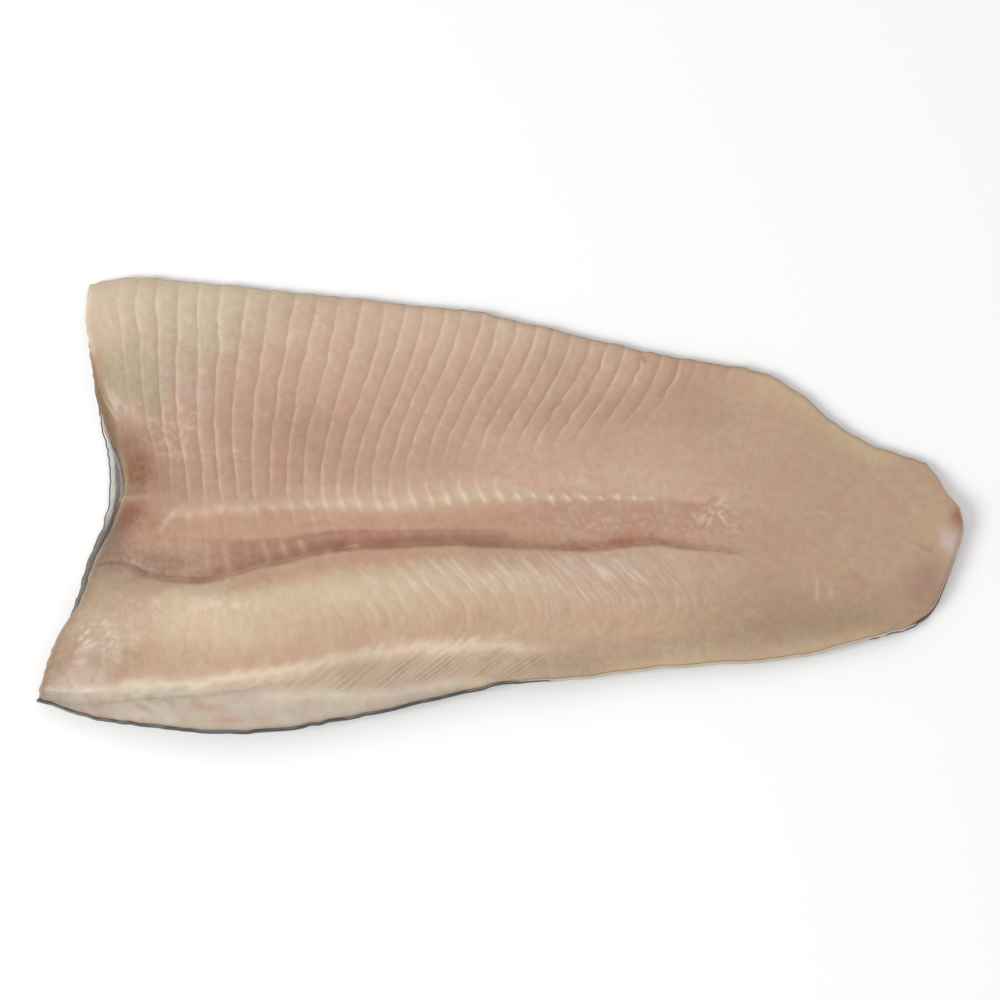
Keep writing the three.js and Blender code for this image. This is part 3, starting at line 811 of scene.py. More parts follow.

# %% [markdown]
# The loin is the thickest part. Its crest is pale and yellowish: partly its own tint and partly painted
# light, where light falls on it and goes through it. Its side towards the head cut is more ochre. Along the
# crease it takes the strip's pink.

# %% Tint of the loin
on_loin = falling(-0.012, 0.002, across - line["crease"])
lay("loin", on_loin)
# The crest tint is partly the loin's own yellowish tint and partly painted light on its top.
lay("loin_crest_lit", on_loin * bump_at(beside("crest"), 7) * rising(-100, -70, x) * falling(-30, 60, x))
lay_ovals(
    ("loin_head", (-90, -41, 19, 5, 0.9)),
    ("loin_crest_lit", (-102, -27, 8, 5, 0.4), (-70, -34, 20, 5, 0.8)),
    ("loin_head", (-5, -34, 12, 4, 0.4)),
    ("ochre", (-96, -41.5, 16, 5, 0.6)),
    inside=on_loin,
)
lay("strip", on_loin * bump_at(beside("crease", -0.028), 3.2) * between(-65, 10, 12, x) * 0.75)
lay_ovals(("lilac", (28, -19, 26, 4, 0.4)), inside=on_loin)
print_tint("loin")

# %% [markdown]
# Below the fat stripe lie the small fin muscles, with two dark strokes to each block. Below them, along
# the head half of the back edge, lies white fat with slanting grey-brown streaks. The streaks are waves
# whose own place is warped by slower waves, so that they bend.

# %% Tint of the fin muscles and the back fat
lay("fin", falling(-0.022, -0.006, across - line["stripe"]))
stroke_share = 0.6 + 0.5 * waves(count, across, (0.9, 0.04), seed=36)
lay("fin_dark", band_masks(x, across)["fin"] * fin_strokes(count, across) * stroke_share)
above_fat = across - through(WHITE_FAT_UP_TO, x)
white_fat = falling(-0.012, 0.008, above_fat) * falling(-24, -4, x)
lay("back_fat", white_fat)
lay("back_fat_pale", white_fat * (0.5 + 0.5 * waves(x, y, (6, 1.6), seed=33)) * 0.9)
slant_x, slant_y = 0.6 * x + 0.8 * y + 1.8 * waves(x, y, 4.5, seed=44), 0.8 * x - 0.6 * y
streak = rising(-0.1, 0.8, waves(slant_x, slant_y, (1.3, 5.0), seed=34))
streak = streak * (0.5 + 0.5 * waves(x, y, (7, 3), seed=45)) * (0.65 + ovals((-88, -54, 18, 4, 0.35)))
lay("back_streak", white_fat * streak)
lay("back_fat_pale", white_fat * rising(0, 0.8, waves(slant_x, slant_y, (0.7, 3), seed=46)) * 0.6)
lay("fat", bump_at((above_fat + 0.015) * wide, 1.2) * between(-55, 0, 10, x) * 0.45)
lay_ovals(("belly_pink", (-75, -53, 4, 1, 0.8), (-69, -56, 5, 1, 0.8)), inside=white_fat)
print_tint("back fat")

# %% [markdown]
# Two lines of fat run lengthwise. The stripe above the fin muscles is ragged and fades behind the middle.
# The other, in the middle of the fillet, has a bead of fat at each septum. Near the head it is a line with
# beads on it, and further back the beads stand alone.

# %% Tint of the fat stripe and the fat line
ragged_stripe = beside("stripe") + 0.9 * waves(count, across, (0.3, 0.02), seed=37)
lay("fat", bump_at(ragged_stripe, 1.7) * falling(0, 26, x) * rising(-113, -104, x) * 0.88)
lay("back_streak", bump_at(beside("stripe", -0.028), 0.45) * falling(-66, -54, x) * 0.6)
bead = bump_at(from_septum(-0.1) * PITCH, 0.7)
ragged_line = beside("fat") + 0.45 * waves(count, 0, 0.3, seed=40)
on_fat_line = bump_at(ragged_line, np.interp(x, (0, 25), (1.5, 0.7)))
on_fat_line = on_fat_line * falling(36, 44, x) * rising(-86, -80, x)
beaded = np.interp(x, (-60, -20), (0.3, 0.62))
line_share = (0.62 - beaded * 0.7 + beaded * 1.1 * bead) * (1 - 0.3 * between(-100, -30, 14, x))
lay("fat", on_fat_line * line_share)
lay("fat", bump_at(beside("fat"), 3.2) * between(-40, 0, 12, x) * 0.22)
lay_ovals(("fat", (-26, -2, 18, 1.8, 0.15)))
upward = bump_at(from_septum() * PITCH - 0.3, 0.5) * between(0, 0.03, 0.03, across - line["fat"])
lay("fat", upward * between(-42, -5, 12, x) * 0.4)
print_tint("fat lines")

# %% [markdown]
# The crease and the fold above it are darker than their depth alone would make them: partly blood that
# stays in them and partly painted shade in their valleys. Some more blood lies behind the end of the fat
# line.

# %% Tint of the crease
deep = through([(-106, 0.45), (-88, 0.7), (60, 0.6), (72, 0)], x) * (1 + 0.3 * waves(x, 0, 3, seed=38))
# The crease tint here is partly blood and partly painted shade in the valleys of the crease and the fold.
lay("crease", bump_at(beside("crease", 0.004), 0.6) * deep)
lay("crease", bump_at(beside("fold"), 0.5) * through(FOLD_DEPTH, x))
lay("crease", bump_at(beside("crease", 0.012), 1.6) * between(-42, -8, 12, x) * 0.45)
lay_ovals(("crease", (32, -11, 16, 9, 0.35)), inside=bump_at(beside("crease", 0.008), 1.8))
lay("blood", bump_at(beside("fat"), 0.8) * between(46, 56, 4, x) * 0.25)
lay_ovals(("blood", (30, -10, 11, 9, 0.7)), inside=bump_at(beside("crease", 0.012), 0.6))
print_tint("crease")

# %% [markdown]
# Towards the tail the bands end and one tan tint takes over, darker along the back and with a yellowish
# rim. Here the last uneven patches of the other zones are laid too, as every fillet has some.

# %% Tint of the tail, and uneven patches
lay("tail", rising(40, 90, x))
lay_ovals(
    ("tail_pink", (47, 30, 14, 6, 0.7), (62, 8, 16, 6, 0.4)),
    ("tail_pink", (70, -12, 14, 7, 0.5)),
    ("tail_pink", (66, -27, 12, 5, 0.5)),
)
lay("tail_low", rising(30, 70, x) * falling(0.06, 0.34, across) * (1 - 0.5 * rising(92, 104, x)))
lay_ovals(
    ("tail_low", (24, -42, 24, 5, 0.8), (41, -40, 9, 4, 0.4)),
    ("lilac", (66, -39, 9, 4, 0.4), (80, -38, 9, 4, 0.4)),
    ("tail", (53, -26, 12, 6, 0.5)),
    ("belly_pink", (15, 37, 9, 6, 0.5)),
    ("tail_low", (54, 23, 10, 6, 0.25)),
    ("belly_edge", (-36, 51, 12, 4, 0.5)),
    ("fin_dark", (-36, -42, 9, 4, 0.45)),
    ("belly_root", (-66, 2, 18, 4, 0.35), (-74, 12, 9, 8, 0.3)),
)
lay("tail_edge", rising(55, 72, x) * rising(0.84, 0.97, across) * falling(95, 110, x))
lay("tail_edge", bump_at(across * wide, 3) * between(30, 92, 10, x) * 0.8)
lay_ovals(
    ("tail_bruise", (110.5, -18, 5, 5, 0.4), (109, -23, 5, 5, 0.35)),
    ("tail_pale", (115.8, -9.6, 2.4, 3, 1)),
    ("tail_red", (118.4, -3.4, 1.8, 2.6, 0.9)),
)
print_tint("tail")

# %% [markdown]
# At the head cut the hollow is brown-red above and below its septum, and the slanted flap is tan. Thin
# darker rims are laid along the belly and back edges, and painted shade along the rounded end of the flesh
# at the head cut.

# %% Tint of the head cut and the edges
from_cut = from_head_cut(x, across)
from_flesh_end = from_cut - through(HEAD_INSET, across)
lay("slant", falling(2.2, 4.6, from_cut) * between(0.6, 0.8, 0.06, across) * 0.85)
drift = 0.5 * waves(x, y, 3.5, seed=41)
lay("under_hollow", patch(x + drift, y, (-96.5, -3.2), (5.5, 4.6)) * 1.15)
lay("hollow_rim", patch(x + drift, y, (-97.5, 16), (4.5, 4.5)) * 0.9)
lay("hollow", patch(x + drift, y + drift, (-94.4, 8.8), (5, 7.2)) * 1.15)
lay("edge", bump_at((1 - across) * wide, 0.6) * rising(-60, 0, x) * 0.5)
lay("edge", bump_at(across * wide, 0.8) * falling(-5, 10, x) * 0.4)
# Painted shade along the rounded end of the flesh at the head cut.
lay("cut_edge_shade", falling(0.5, 3, from_flesh_end) * falling(0.66, 0.8, across) * 0.7)
print_tint("head cut")

# %% [markdown]
# ## Small marks and glints
#
# The eye also looks for what is not regular: crumbs of fat, a nick, a drop of blood, wet sparkle. Each
# mark is a short straight stroke with soft sides, and a few of the pale ones are painted highlights. The
# sparkle is painted highlight too: waves with only their tops kept.

# %% Marks and glints
MARKS = {  # for each tint: start x and y, end x and y, half width in mm, share
    "fat": [
        # The first two, on the loin's crest, and the two at x 81 to 85 are painted highlights laid in the
        # fat tint.
        (-78.7, -28.6, -71.9, -27.3, 0.9, 0.4),
        (-88.8, -27.8, -86.3, -26.3, 0.8, 0.3),
        (-84.4, -24.3, -76.3, -23.2, 1.2, 0.35),
        (-89.3, 12.5, -79.4, 12.2, 0.4, 0.25),
        (-79.4, 12.5, -68.3, 13.3, 0.35, 0.2),
        (-87.2, -8.0, -85.8, -5.8, 0.7, 0.3),
        (-85.6, -5.2, -84.0, -3.6, 0.8, 0.4),
        (-84.0, -3.6, -81.5, -2.0, 0.9, 0.25),
        (-98.0, 1.4, -90.5, 1.2, 0.6, 0.35),
        (81.1, -20.1, 81.0, -24.5, 0.5, 0.26),
        (84.4, -21.9, 84.6, -24.2, 0.4, 0.2),
        (82.8, -2.3, 84.3, -2.9, 0.5, 0.25),
        (104.1, -10.0, 108.7, -12.6, 0.5, 0.12),
        (106.7, -1.8, 108.3, -0.8, 0.5, 0.15),
        (23.8, -31.6, 24.8, -34.2, 0.5, 0.3),
        (55.5, -0.9, 57.3, 1.0, 0.5, 0.5),
        (62.4, -28.1, 66.5, -29.7, 0.4, 0.12),
    ],
    "tail_red": [(108.9, -11.1, 111.4, -12.4, 0.5, 0.4), (37.4, 39.6, 37.9, 38.5, 0.5, 0.6)],
    "blood": [(52.6, -0.6, 55.2, 0.6, 0.9, 0.4)],
    "tail_bruise": [(91.4, -18.9, 93.1, -21.0, 1.0, 0.3)],
}
GLINTS = [  # middle x and y, size x and y in mm, share
    (-103, -35.5, 5.5, 3, 1.0),
    (-107, -41, 1.5, 3, 0.3),
    (-86, 19, 8, 6, 0.25),
    (-70, -28, 9, 4, 0.3),
    (55.5, -3.5, 6, 4, 0.3),
    (32, -6, 22, 3.5, 0.14),
    (15, 5, 26, 4, 0.12),
]


def mark(start_x, start_y, end_x, end_y, half_width):
    """1 along a short straight mark, falling off beside it."""
    run_x, run_y = end_x - start_x, end_y - start_y
    way = np.clip(((x - start_x) * run_x + (y - start_y) * run_y) / (run_x**2 + run_y**2), 0, 1)
    return bump_at(np.hypot(x - start_x - way * run_x, y - start_y - way * run_y), half_width)


for name, marks in MARKS.items():
    for *course, share in marks:
        lay(name, mark(*course) * share)
sparkle = rising(0.25, 0.5, waves(0.8 * x + 0.6 * y, 0.8 * y - 0.6 * x, (1.1, 0.8), seed=42))
for glint in GLINTS:
    lay("glint", sparkle * ovals(glint))
wrinkle = rising(0.45, 0.8, waves(x, y, (4, 0.7), seed=43))
lay_ovals(("fat", (-81, 19, 10, 7, 0.4)), inside=wrinkle)
print_tint("marks and glints")

# %% [markdown]
# Last, painted shade darkens the flesh near the head cut, where its slopes face the light, and in a few
# other places. The whole stack is made darker there, and keeps its hues.

# %% Painted shade
PAINTED_SHADE_AT_HEAD = {"share": 0.3, "length": 24}  # mm over which it fades
# Painted shade near the head cut, where the flesh's slopes face the light, and in a few other places.
painted_shade = PAINTED_SHADE_AT_HEAD["share"] * np.clip(1 - from_flesh_end / PAINTED_SHADE_AT_HEAD["length"], 0, 1)
painted_shade = painted_shade * falling(0.7, 0.88, across) + ovals(
    (-104, -42, 14, 7, 0.12),
    (-101, -10, 5, 6, 0.34),
    (-86, -17, 13, 4, 0.34),
    (-100, -51, 12, 4, 0.1),
    (-20, -50, 12, 4, 0.1),
    (66, -40, 9, 4, 0.06),
    (-86, -50, 12, 4, 0.06),
)
tint *= 1 - painted_shade[..., None]
print_tint("painted_shading")

# %% [markdown]
# ## Values for the material
#
# The material has to know what the grid knows, so it is kept on the mesh, one value for each point: the
# tint, the block number, the place across, the bands, and where the surface is wet or torn rough. Drawing
# the septa from these numbers keeps them exactly on the relief. The hidden underside gets 0.

# %% Keep the tints and the bands on the mesh
def cut_face_only(values):
    """Values for all points, kept on the cut face and 0 on the underside."""
    return np.pad(values[: len(top_points)], ((0, len(under_points)), (0, 0)))


wet_places = ovals((-102, -34, 5, 3, 0.5), (-84, 24, 6, 6, 0.5))
torn = ovals((20, 4, 30, 9, 0.8), (-93, -33, 16, 9, 1), (-88, 26, 13, 14, 1), (-66, 45, 28, 9, 1.2))
rough_places = (0.2 + torn) * (1 - ovals((-96, 4, 9, 14, 1)))
shown = {"block": count, "across": across, "wet": wet_places, "rough": rough_places}
shown |= {name: masks[name] for name in ("belly", "strip", "loin", "wisp")}
store(flesh, "tint", np.concatenate([tint, np.ones((*x.shape, 1))], -1), "FLOAT_COLOR")
for name, values in shown.items():
    store(flesh, name, cut_face_only(values))
print("stored:", [a.name for a in flesh.data.attributes if not a.name.startswith(".")])

# %% [markdown]
# ## Small helpers for shader nodes
#
# A material is a small program of nodes. These helpers keep the cells short: one makes a node and sets
# its values, one does arithmetic, one reads an attribute of the mesh, and so on.

# %% Node helpers
def feed(tree, made, inputs):
    """Links other nodes' outputs into a node's inputs, or sets the inputs' own values."""
    for name, value in inputs.items():
        if isinstance(value, bpy.types.NodeSocket):
            tree.links.new(value, made.inputs[name])
        else:
            made.inputs[name].default_value = value


def node(tree, kind, inputs=None, **settings):
    """Makes a node. inputs maps socket names or numbers to values or to other nodes' outputs."""
    made = tree.nodes.new(kind)
    for name, value in settings.items():
        setattr(made, name, value)
    feed(tree, made, inputs or {})
    return made


def maths(tree, operation, *values):
    return node(tree, "ShaderNodeMath", dict(enumerate(values)), operation=operation).outputs[0]


def product(tree, first, *others):
    for other in others:
        first = maths(tree, "MULTIPLY", first, other)
    return first


def weighted(tree, pairs):
    """The sum of values times their weights."""
    total = None
    for value, weight in pairs:
        part = maths(tree, "MULTIPLY", value, weight)
        total = part if total is None else maths(tree, "ADD", total, part)
    return total


def attribute(tree, name, output="Fac"):
    return node(tree, "ShaderNodeAttribute", attribute_name=name).outputs[output]


def blend(tree, share, colour_a, colour_b, mode="MIX"):
    """Mixes two colours. The sockets 6, 7 and 2 are the node's ones for colour."""
    inputs = {"Factor": share, 6: colour_a, 7: colour_b}
    settings = {"data_type": "RGBA", "blend_type": mode, "clamp_factor": True}
    return node(tree, "ShaderNodeMix", inputs, **settings).outputs[2]


def remap(tree, value, low, high, to_low=0.0, to_high=1.0):
    """Maps low..high to another range, easing at both ends, and stays inside it."""
    inputs = {"Value": value, "From Min": low, "From Max": high, "To Min": to_low, "To Max": to_high}
    settings = {"interpolation_type": "SMOOTHSTEP", "clamp": True}
    return node(tree, "ShaderNodeMapRange", inputs, **settings).outputs["Result"]


def noise(tree, vector, scale, detail=2.0, twist=0.0):
    inputs = {"Vector": vector, "Scale": scale, "Detail": detail, "Distortion": twist}
    return node(tree, "ShaderNodeTexNoise", inputs).outputs["Fac"]


def new_material(name):
    """A material, its node tree and its surface shader."""
    material = bpy.data.materials.new(name)
    material.use_nodes = True
    return material, material.node_tree, material.node_tree.nodes["Principled BSDF"]


HELPERS = (feed, node, maths, product, weighted, attribute, blend, remap, noise, new_material)
print("node helpers:", [helper.__name__ for helper in HELPERS])

# %% [markdown]
# ## A wet surface, for flesh and skin alike
#
# Raw fish is covered by an uneven film of water. It shows as small changes of gloss and as a faint
# pebbling that breaks highlights into glints. Both pieces have it, so it is one node group, with its
# scale and its two kinds of gloss as inputs: it gives a roughness and a height.

# %% The wet film group
def group_with(name, inputs, outputs):
    """An empty node group with named sockets: inputs maps a name to its default value."""
    group = bpy.data.node_groups.new(name, "ShaderNodeTree")
    for socket, default in inputs.items():
        made = group.interface.new_socket(socket, in_out="INPUT", socket_type="NodeSocketFloat")
        made.default_value = default
    for socket in outputs:
        group.interface.new_socket(socket, in_out="OUTPUT", socket_type="NodeSocketFloat")
    return group, node(group, "NodeGroupInput").outputs, node(group, "NodeGroupOutput")


def build_wet_film():
    defaults = {"Scale": 1.0, "Dry roughness": 0.5, "Wet roughness": 0.3, "Wet": 0.0}
    tree, given, result = group_with("Wet film", defaults, ["Roughness", "Height"])
    place = node(tree, "ShaderNodeTexCoord").outputs["Object"]
    pools = noise(tree, place, product(tree, given["Scale"], 90.0))
    wet = maths(tree, "MAXIMUM", remap(tree, pools, 0.42, 0.62), given["Wet"])
    span = maths(tree, "SUBTRACT", given["Wet roughness"], given["Dry roughness"])
    rough = maths(tree, "MULTIPLY_ADD", wet, span, given["Dry roughness"])
    pebbles = noise(tree, place, product(tree, given["Scale"], 650.0), 3.0)
    feed(tree, result, {"Roughness": rough, "Height": pebbles})
    return tree


def place_wet_film(tree, inputs):
    """Puts the group into a material, and gives its roughness and height."""
    film = node(tree, "ShaderNodeGroup", inputs, node_tree=wet_film)
    return film.outputs["Roughness"], film.outputs["Height"]


wet_film = build_wet_film()
print("group:", wet_film.name, [s.name for s in wet_film.interface.items_tree])

# %% [markdown]
# ## Lines drawn from the block number
#
# The pale line of a septum, partly pale tissue and partly painted highlight where the step rises, and the
# thin painted shadow beside it are too fine for the grid, so the material draws them. It takes the `block`
# number, whose whole values are the septa: the distance to the nearest whole number gives a line of any
# width. Noise in a space made of `block` and `across` is drawn out along the septa, as the fibres and
# wisps of the flesh are.

# %% Septa and wisps
PALE_WIDTH = 1.5  # mm behind a septum over which its pale line fades
SHADOW_WIDTH = 2.4  # mm before it over which its shadow fades


def septum_lines(tree):
    """Masks of the pale line, partly painted highlight on the rise of each step, and of the painted shadow
    beside it, from the block count.
    """
    phase = maths(tree, "FRACT", attribute(tree, "block"))
    tail_side = product(tree, phase, PITCH)
    head_side = product(tree, maths(tree, "SUBTRACT", 1.0, phase), PITCH)
    fading = remap(tree, tail_side, 0.2, PALE_WIDTH, 1.0, 0.0)
    pale = product(tree, fading, remap(tree, tail_side, 0.0, 0.15))
    shadow = remap(tree, head_side, 0.0, SHADOW_WIDTH, 1.0, 0.0)
    return pale, shadow


def along_septa(tree, across_waves, along_waves, twist=0.0):
    """Noise drawn out along the septa."""
    x = product(tree, attribute(tree, "block"), along_waves)
    y = product(tree, attribute(tree, "across"), across_waves)
    return noise(tree, node(tree, "ShaderNodeCombineXYZ", {"X": x, "Y": y}).outputs[0], 1.0, 2.0, twist)


print("in a block of", round(PITCH, 2), "mm: pale line", PALE_WIDTH, "mm, shadow", SHADOW_WIDTH, "mm")

# %% [markdown]
# ## The flesh material
#
# The tint from the mesh is the start. It is mottled in two sizes and gets dark specks, then the pale
# septa, wisps and flecks are laid on it, and last the shadows beside the septa. Noise could colour all of
# it without a mesh, but then nothing would sit where the photograph has it. Flesh lets light in, so the
# surface shader scatters it below the surface, more for red than for blue.

# %% Colour of the flesh
# The pale septum colour is partly pale tissue and partly painted highlight on the rise of each step; the
# septum shadow is painted shade.
PALE_SEPTUM_AND_HIGHLIGHT = (0.86, 0.76, 0.66, 1)
SEPTUM_SHADOW = (0.3, 0.16, 0.11, 1)
DARK_SPECK = (0.72, 0.56, 0.44, 1)
TONES = [(1.0, 0.955, 0.94, 1), (0.98, 1.0, 0.96, 1)]
FINE_TONES = [(0.97, 0.955, 0.95, 1), (1.02, 1.025, 1.025, 1)]


def pale_share(tree, place, pale, bands):
    """How much pale shows: septa, partly pale tissue and partly painted highlight, wisps, streaks and
    flecks.
    """
    uneven = remap(tree, noise(tree, place, 200.0), 0.38, 0.62, 0.1, 1.0)
    lines = weighted(tree, [(bands["belly"], 0.115), (bands["loin"], 0.06), (bands["strip"], 0.03)])
    wisps = remap(tree, along_septa(tree, 9.0, 1.9, 0.9), 0.48, 0.7)
    streaks = remap(tree, along_septa(tree, 14.0, 3.4), 0.45, 0.7)
    loose = [(product(tree, wisps, bands["wisp"]), 0.3), (product(tree, streaks, bands["loin"]), 0.16)]
    flecks = remap(tree, noise(tree, place, 460.0, 3.0), 0.45, 0.75)
    loose = weighted(tree, [*loose, (product(tree, flecks, attribute(tree, "rough")), 0.12)])
    return maths(tree, "ADD", product(tree, pale, lines, uneven), loose)


def mottled(tree, place):
    """The tint of the mesh, with mottling in two sizes and dark specks."""
    colour = attribute(tree, "tint", "Color")
    for scale, (low, high) in ((110.0, TONES), (420.0, FINE_TONES)):
        tone = remap(tree, noise(tree, place, scale), 0.35, 0.65)
        colour = blend(tree, 1.0, colour, blend(tree, tone, low, high), "MULTIPLY")
    grainy = remap(tree, noise(tree, place, 55.0), 0.4, 0.65, 0.04, 0.14)
    speck = product(tree, remap(tree, noise(tree, place, 700.0, 3.0), 0.35, 0.7), grainy)
    return blend(tree, speck, colour, DARK_SPECK)


def flesh_colour(tree, place):
    bands = {name: attribute(tree, name) for name in ("belly", "loin", "strip", "wisp")}
    pale, shadow = septum_lines(tree)
    shadow_share = product(tree, shadow, weighted(tree, [(bands["belly"], 0.15), (bands["loin"], 0.05)]))
    lined = blend(tree, pale_share(tree, place, pale, bands), mottled(tree, place), PALE_SEPTUM_AND_HIGHLIGHT)
    return blend(tree, shadow_share, lined, SEPTUM_SHADOW)


print("colours laid over the tint:", PALE_SEPTUM_AND_HIGHLIGHT, SEPTUM_SHADOW, DARK_SPECK)

# %% [markdown]
# The surface is wet in some places and torn into fine wrinkles in others. Both are a height for one bump
# node, besides the fibres along the septa. Only what is too small to show as a form is left to the bump.

# %% Flesh material
def build_flesh_material():
    material, tree, surface = new_material("raw_flesh")
    place = node(tree, "ShaderNodeTexCoord").outputs["Object"]
    colour = flesh_colour(tree, place)
    gloss = {"Scale": 1.0, "Dry roughness": 0.56, "Wet roughness": 0.36, "Wet": attribute(tree, "wet")}
    roughness, film_height = place_wet_film(tree, gloss)
    fibres = maths(tree, "MULTIPLY_ADD", along_septa(tree, 60.0, 4.0), 0.35, film_height)
    wrinkles = product(tree, noise(tree, place, 760.0, 3.0, 1.2), attribute(tree, "rough"))
    height = maths(tree, "MULTIPLY_ADD", wrinkles, 1.6, fibres)
    bump = node(tree, "ShaderNodeBump", {"Height": height, "Strength": 0.35, "Distance": 0.3 * MM})
    feed(tree, surface, {"Base Color": colour, "Roughness": roughness, "Normal": bump.outputs["Normal"]})
    scatter = {"Weight": 0.35, "Radius": (1.0, 0.42, 0.28), "Scale": 1.4 * MM}
    feed(tree, surface, {f"Subsurface {name}": value for name, value in scatter.items()})
    feed(tree, surface, {"IOR": 1.38, "Coat Weight": 0.25, "Coat Roughness": 0.22})
    return material


flesh.data.materials.append(build_flesh_material())
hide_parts("flesh")
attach(flesh, "root")
print("flesh material:", len(flesh.data.materials[0].node_tree.nodes), "nodes")

# %% [markdown]
# ## The skin
#
# The skin is a sheet with a thickness. Its outer face shows only at the rim from above, but the part is
# looked at from every side, so the whole underside is finished: an olive-grey back with small black
# spots, a pink band along the flank, a silver belly, and fine scales. Its inner face is silvery white,
# and the cut edge is bevelled by the knife, so that the dark outer layer shows as a thin line. Each point
# keeps a few numbers to paint it by: `flank` is how far round from the back it lies, `pigment` is 1 on
# the outer face, 0 on the inner one and between them on the rim's top, `silver` is 1 on silvery tissue
# and 0 where the inner face is painted dark brown, partly dark tissue and partly painted shade in the gap
# beside the flesh, and `cling` is where flesh is left on the rim.

# %% Skin mesh
SKIN_ROWS = {"flat": 90, "rim": 22}
EDGE_COLUMNS, COLUMNS = 20, 330  # near the head cut, and along the rest
BEVEL = 0.6  # mm that the outer face reaches beyond the inner one at the head cut
BEVEL_LENGTH = 0.03  # share of the length over which the bevel runs out
SILVER_WIDTH = [(0, 1.2), (0.33, 1.1), (0.42, 1.0), (1, 0.9)]  # mm of the strip at the cut, by share across
REAR = (-5, 12)  # between these x the dark rim gives way to flesh that clings to it
UNROLLED = {"long": 235.0, "wide": 115.0}  # mm of skin


def bevelled_x(along, across):
    return skin_x(along, across) + BEVEL * falling(0, BEVEL_LENGTH, along) * rising(0, 0.1, across)


def silver_at_cut(x, across):
    """1 on the silvery strips along the head cut, 0 where dark brown is painted between them: partly dark
    tissue, partly painted shade in the gap beside the flesh.
    """
    distance = from_head_cut(x, across) - BEVEL
    width = through(SILVER_WIDTH, across)
    at_edge = falling(width - 0.2, width + 0.2, distance) * (0.3 + 0.7 * between(0.46, 0.66, 0.05, across))
    beside_flesh = through(HEAD_INSET, across) - BEVEL - distance
    at_flesh = bump_at(beside_flesh - 1.1, 0.45) * between(0.49, 0.6, 0.03, across) * 0.7
    along_cut = across * UNROLLED["wide"]
    streaks = 0.12 + 0.26 * waves(from_head_cut(x, across), along_cut, (0.45, 6), seed=57)
    return np.maximum(np.maximum(at_edge, at_flesh), streaks * rising(0.34, 0.44, across))


def build_skin():
    near = np.linspace(0, BEVEL_LENGTH, EDGE_COLUMNS + 1)[:-1]
    along = np.concatenate([near, np.linspace(BEVEL_LENGTH, 1, COLUMNS + 1)])
    outer, across = under_line(skin_x, along, 0, 0, *SKIN_ROWS.values())
    inner, _ = under_line(bevelled_x, along, SKIN_THICKNESS, 0, *SKIN_ROWS.values())
    rings = np.concatenate([inner[::-1], outer])
    piece = loft("trout_skin", rings, len(inner))
    way = np.stack([shares(ring) for ring in outer.swapaxes(0, 1)], 1)  # 0 at the belly, 1 at the rim's top
    x = outer[..., 0]
    rear = rising(*REAR, x[-1])
    uneven = waves(x, 0, 2.4, seed=56)
    rim_top_dark = np.zeros_like(way)
    rim_top_dark[-1] = -0.25 - 0.1 * rear + (0.5 + 0.1 * rear) * uneven[-1]  # broken up by waves
    cling_from = 0.968 + 0.034 * (1 - between(30, 78, 26, x))
    cling = rising(cling_from, cling_from + 0.012, way + 0.007 * uneven)
    on_inner = {
        "flank": 1 - way,
        "pigment": rim_top_dark,
        "silver": silver_at_cut(inner[..., 0], across),
        "cling": np.concatenate([cling[:-1], rear[None]]),
    }
    on_outer = {"flank": 1 - way, "pigment": np.ones_like(way), "silver": np.ones_like(way), "cling": cling}
    for name, values in on_inner.items():
        store(piece, name, np.concatenate([values[::-1], on_outer[name]]))
    store(piece, "down_body", np.broadcast_to(along, rings.shape[:2]))
    return piece


skin = build_skin()
print("skin:", len(skin.data.polygons), "faces")

# %% [markdown]
# ## The skin's pattern
#
# Spots come from a cell pattern in the plane of the unrolled skin. Each cell has a random number of its
# own, and becomes a spot where that is below a limit. The limit is high on the back and low on the belly,
# so the spots crowd on the back. Scales are a finer pattern, for height and a faint change of silver.

# %% Spots and scales
def cells(tree, scale, randomness):
    """A cell pattern on the unrolled skin."""
    x = product(tree, attribute(tree, "down_body"), UNROLLED["long"])
    y = product(tree, attribute(tree, "flank"), UNROLLED["wide"])
    place = node(tree, "ShaderNodeCombineXYZ", {"X": x, "Y": y}).outputs[0]
    inputs = {"Vector": place, "Scale": scale, "Randomness": randomness}
    return node(tree, "ShaderNodeTexVoronoi", inputs).outputs


def spots(tree):
    pattern = cells(tree, 0.3, 1.0)
    own_number = node(tree, "ShaderNodeSeparateColor", {"Color": pattern["Color"]}).outputs
    back = remap(tree, attribute(tree, "flank"), 0.1, 0.6, 0.85, 0.1)
    chosen = maths(tree, "LESS_THAN", own_number[0], back)
    size = maths(tree, "MULTIPLY_ADD", own_number[1], 0.16, 0.14)
    inside = maths(tree, "SUBTRACT", size, pattern["Distance"])
    return product(tree, remap(tree, inside, 0.0, 0.08), chosen)


print("the unrolled skin is", UNROLLED["long"], "by", UNROLLED["wide"], "mm")

# %% [markdown]
# ## The skin material
#
# The outer colours are laid from the back to the belly by `flank`, made a little wavy, so that no border
# is straight. Then `pigment` chooses between them and the inner side, and `cling` covers both.

# %% Skin material
SKIN_COLOUR = {
    "back": (0.075, 0.08, 0.052, 1),
    "upper_flank": (0.3, 0.31, 0.25, 1),
    "pink": (0.42, 0.2, 0.19, 1),
    "belly": (0.62, 0.62, 0.58, 1),
    "spot": (0.012, 0.012, 0.012, 1),
    "scale": (0.4, 0.4, 0.36, 1),
    "silver_dark": (0.5, 0.49, 0.45, 1),
    "silver_light": (0.8, 0.79, 0.74, 1),
    # Dark brown of the inner face: partly dark tissue, partly painted shade in the gap between the skin's
    # edge and the flesh.
    "dark_tissue_and_shade": (0.09, 0.05, 0.035, 1),
    "cut_layer": (0.07, 0.075, 0.075, 1),
    "clinging": (0.56, 0.48, 0.39, 1),
}


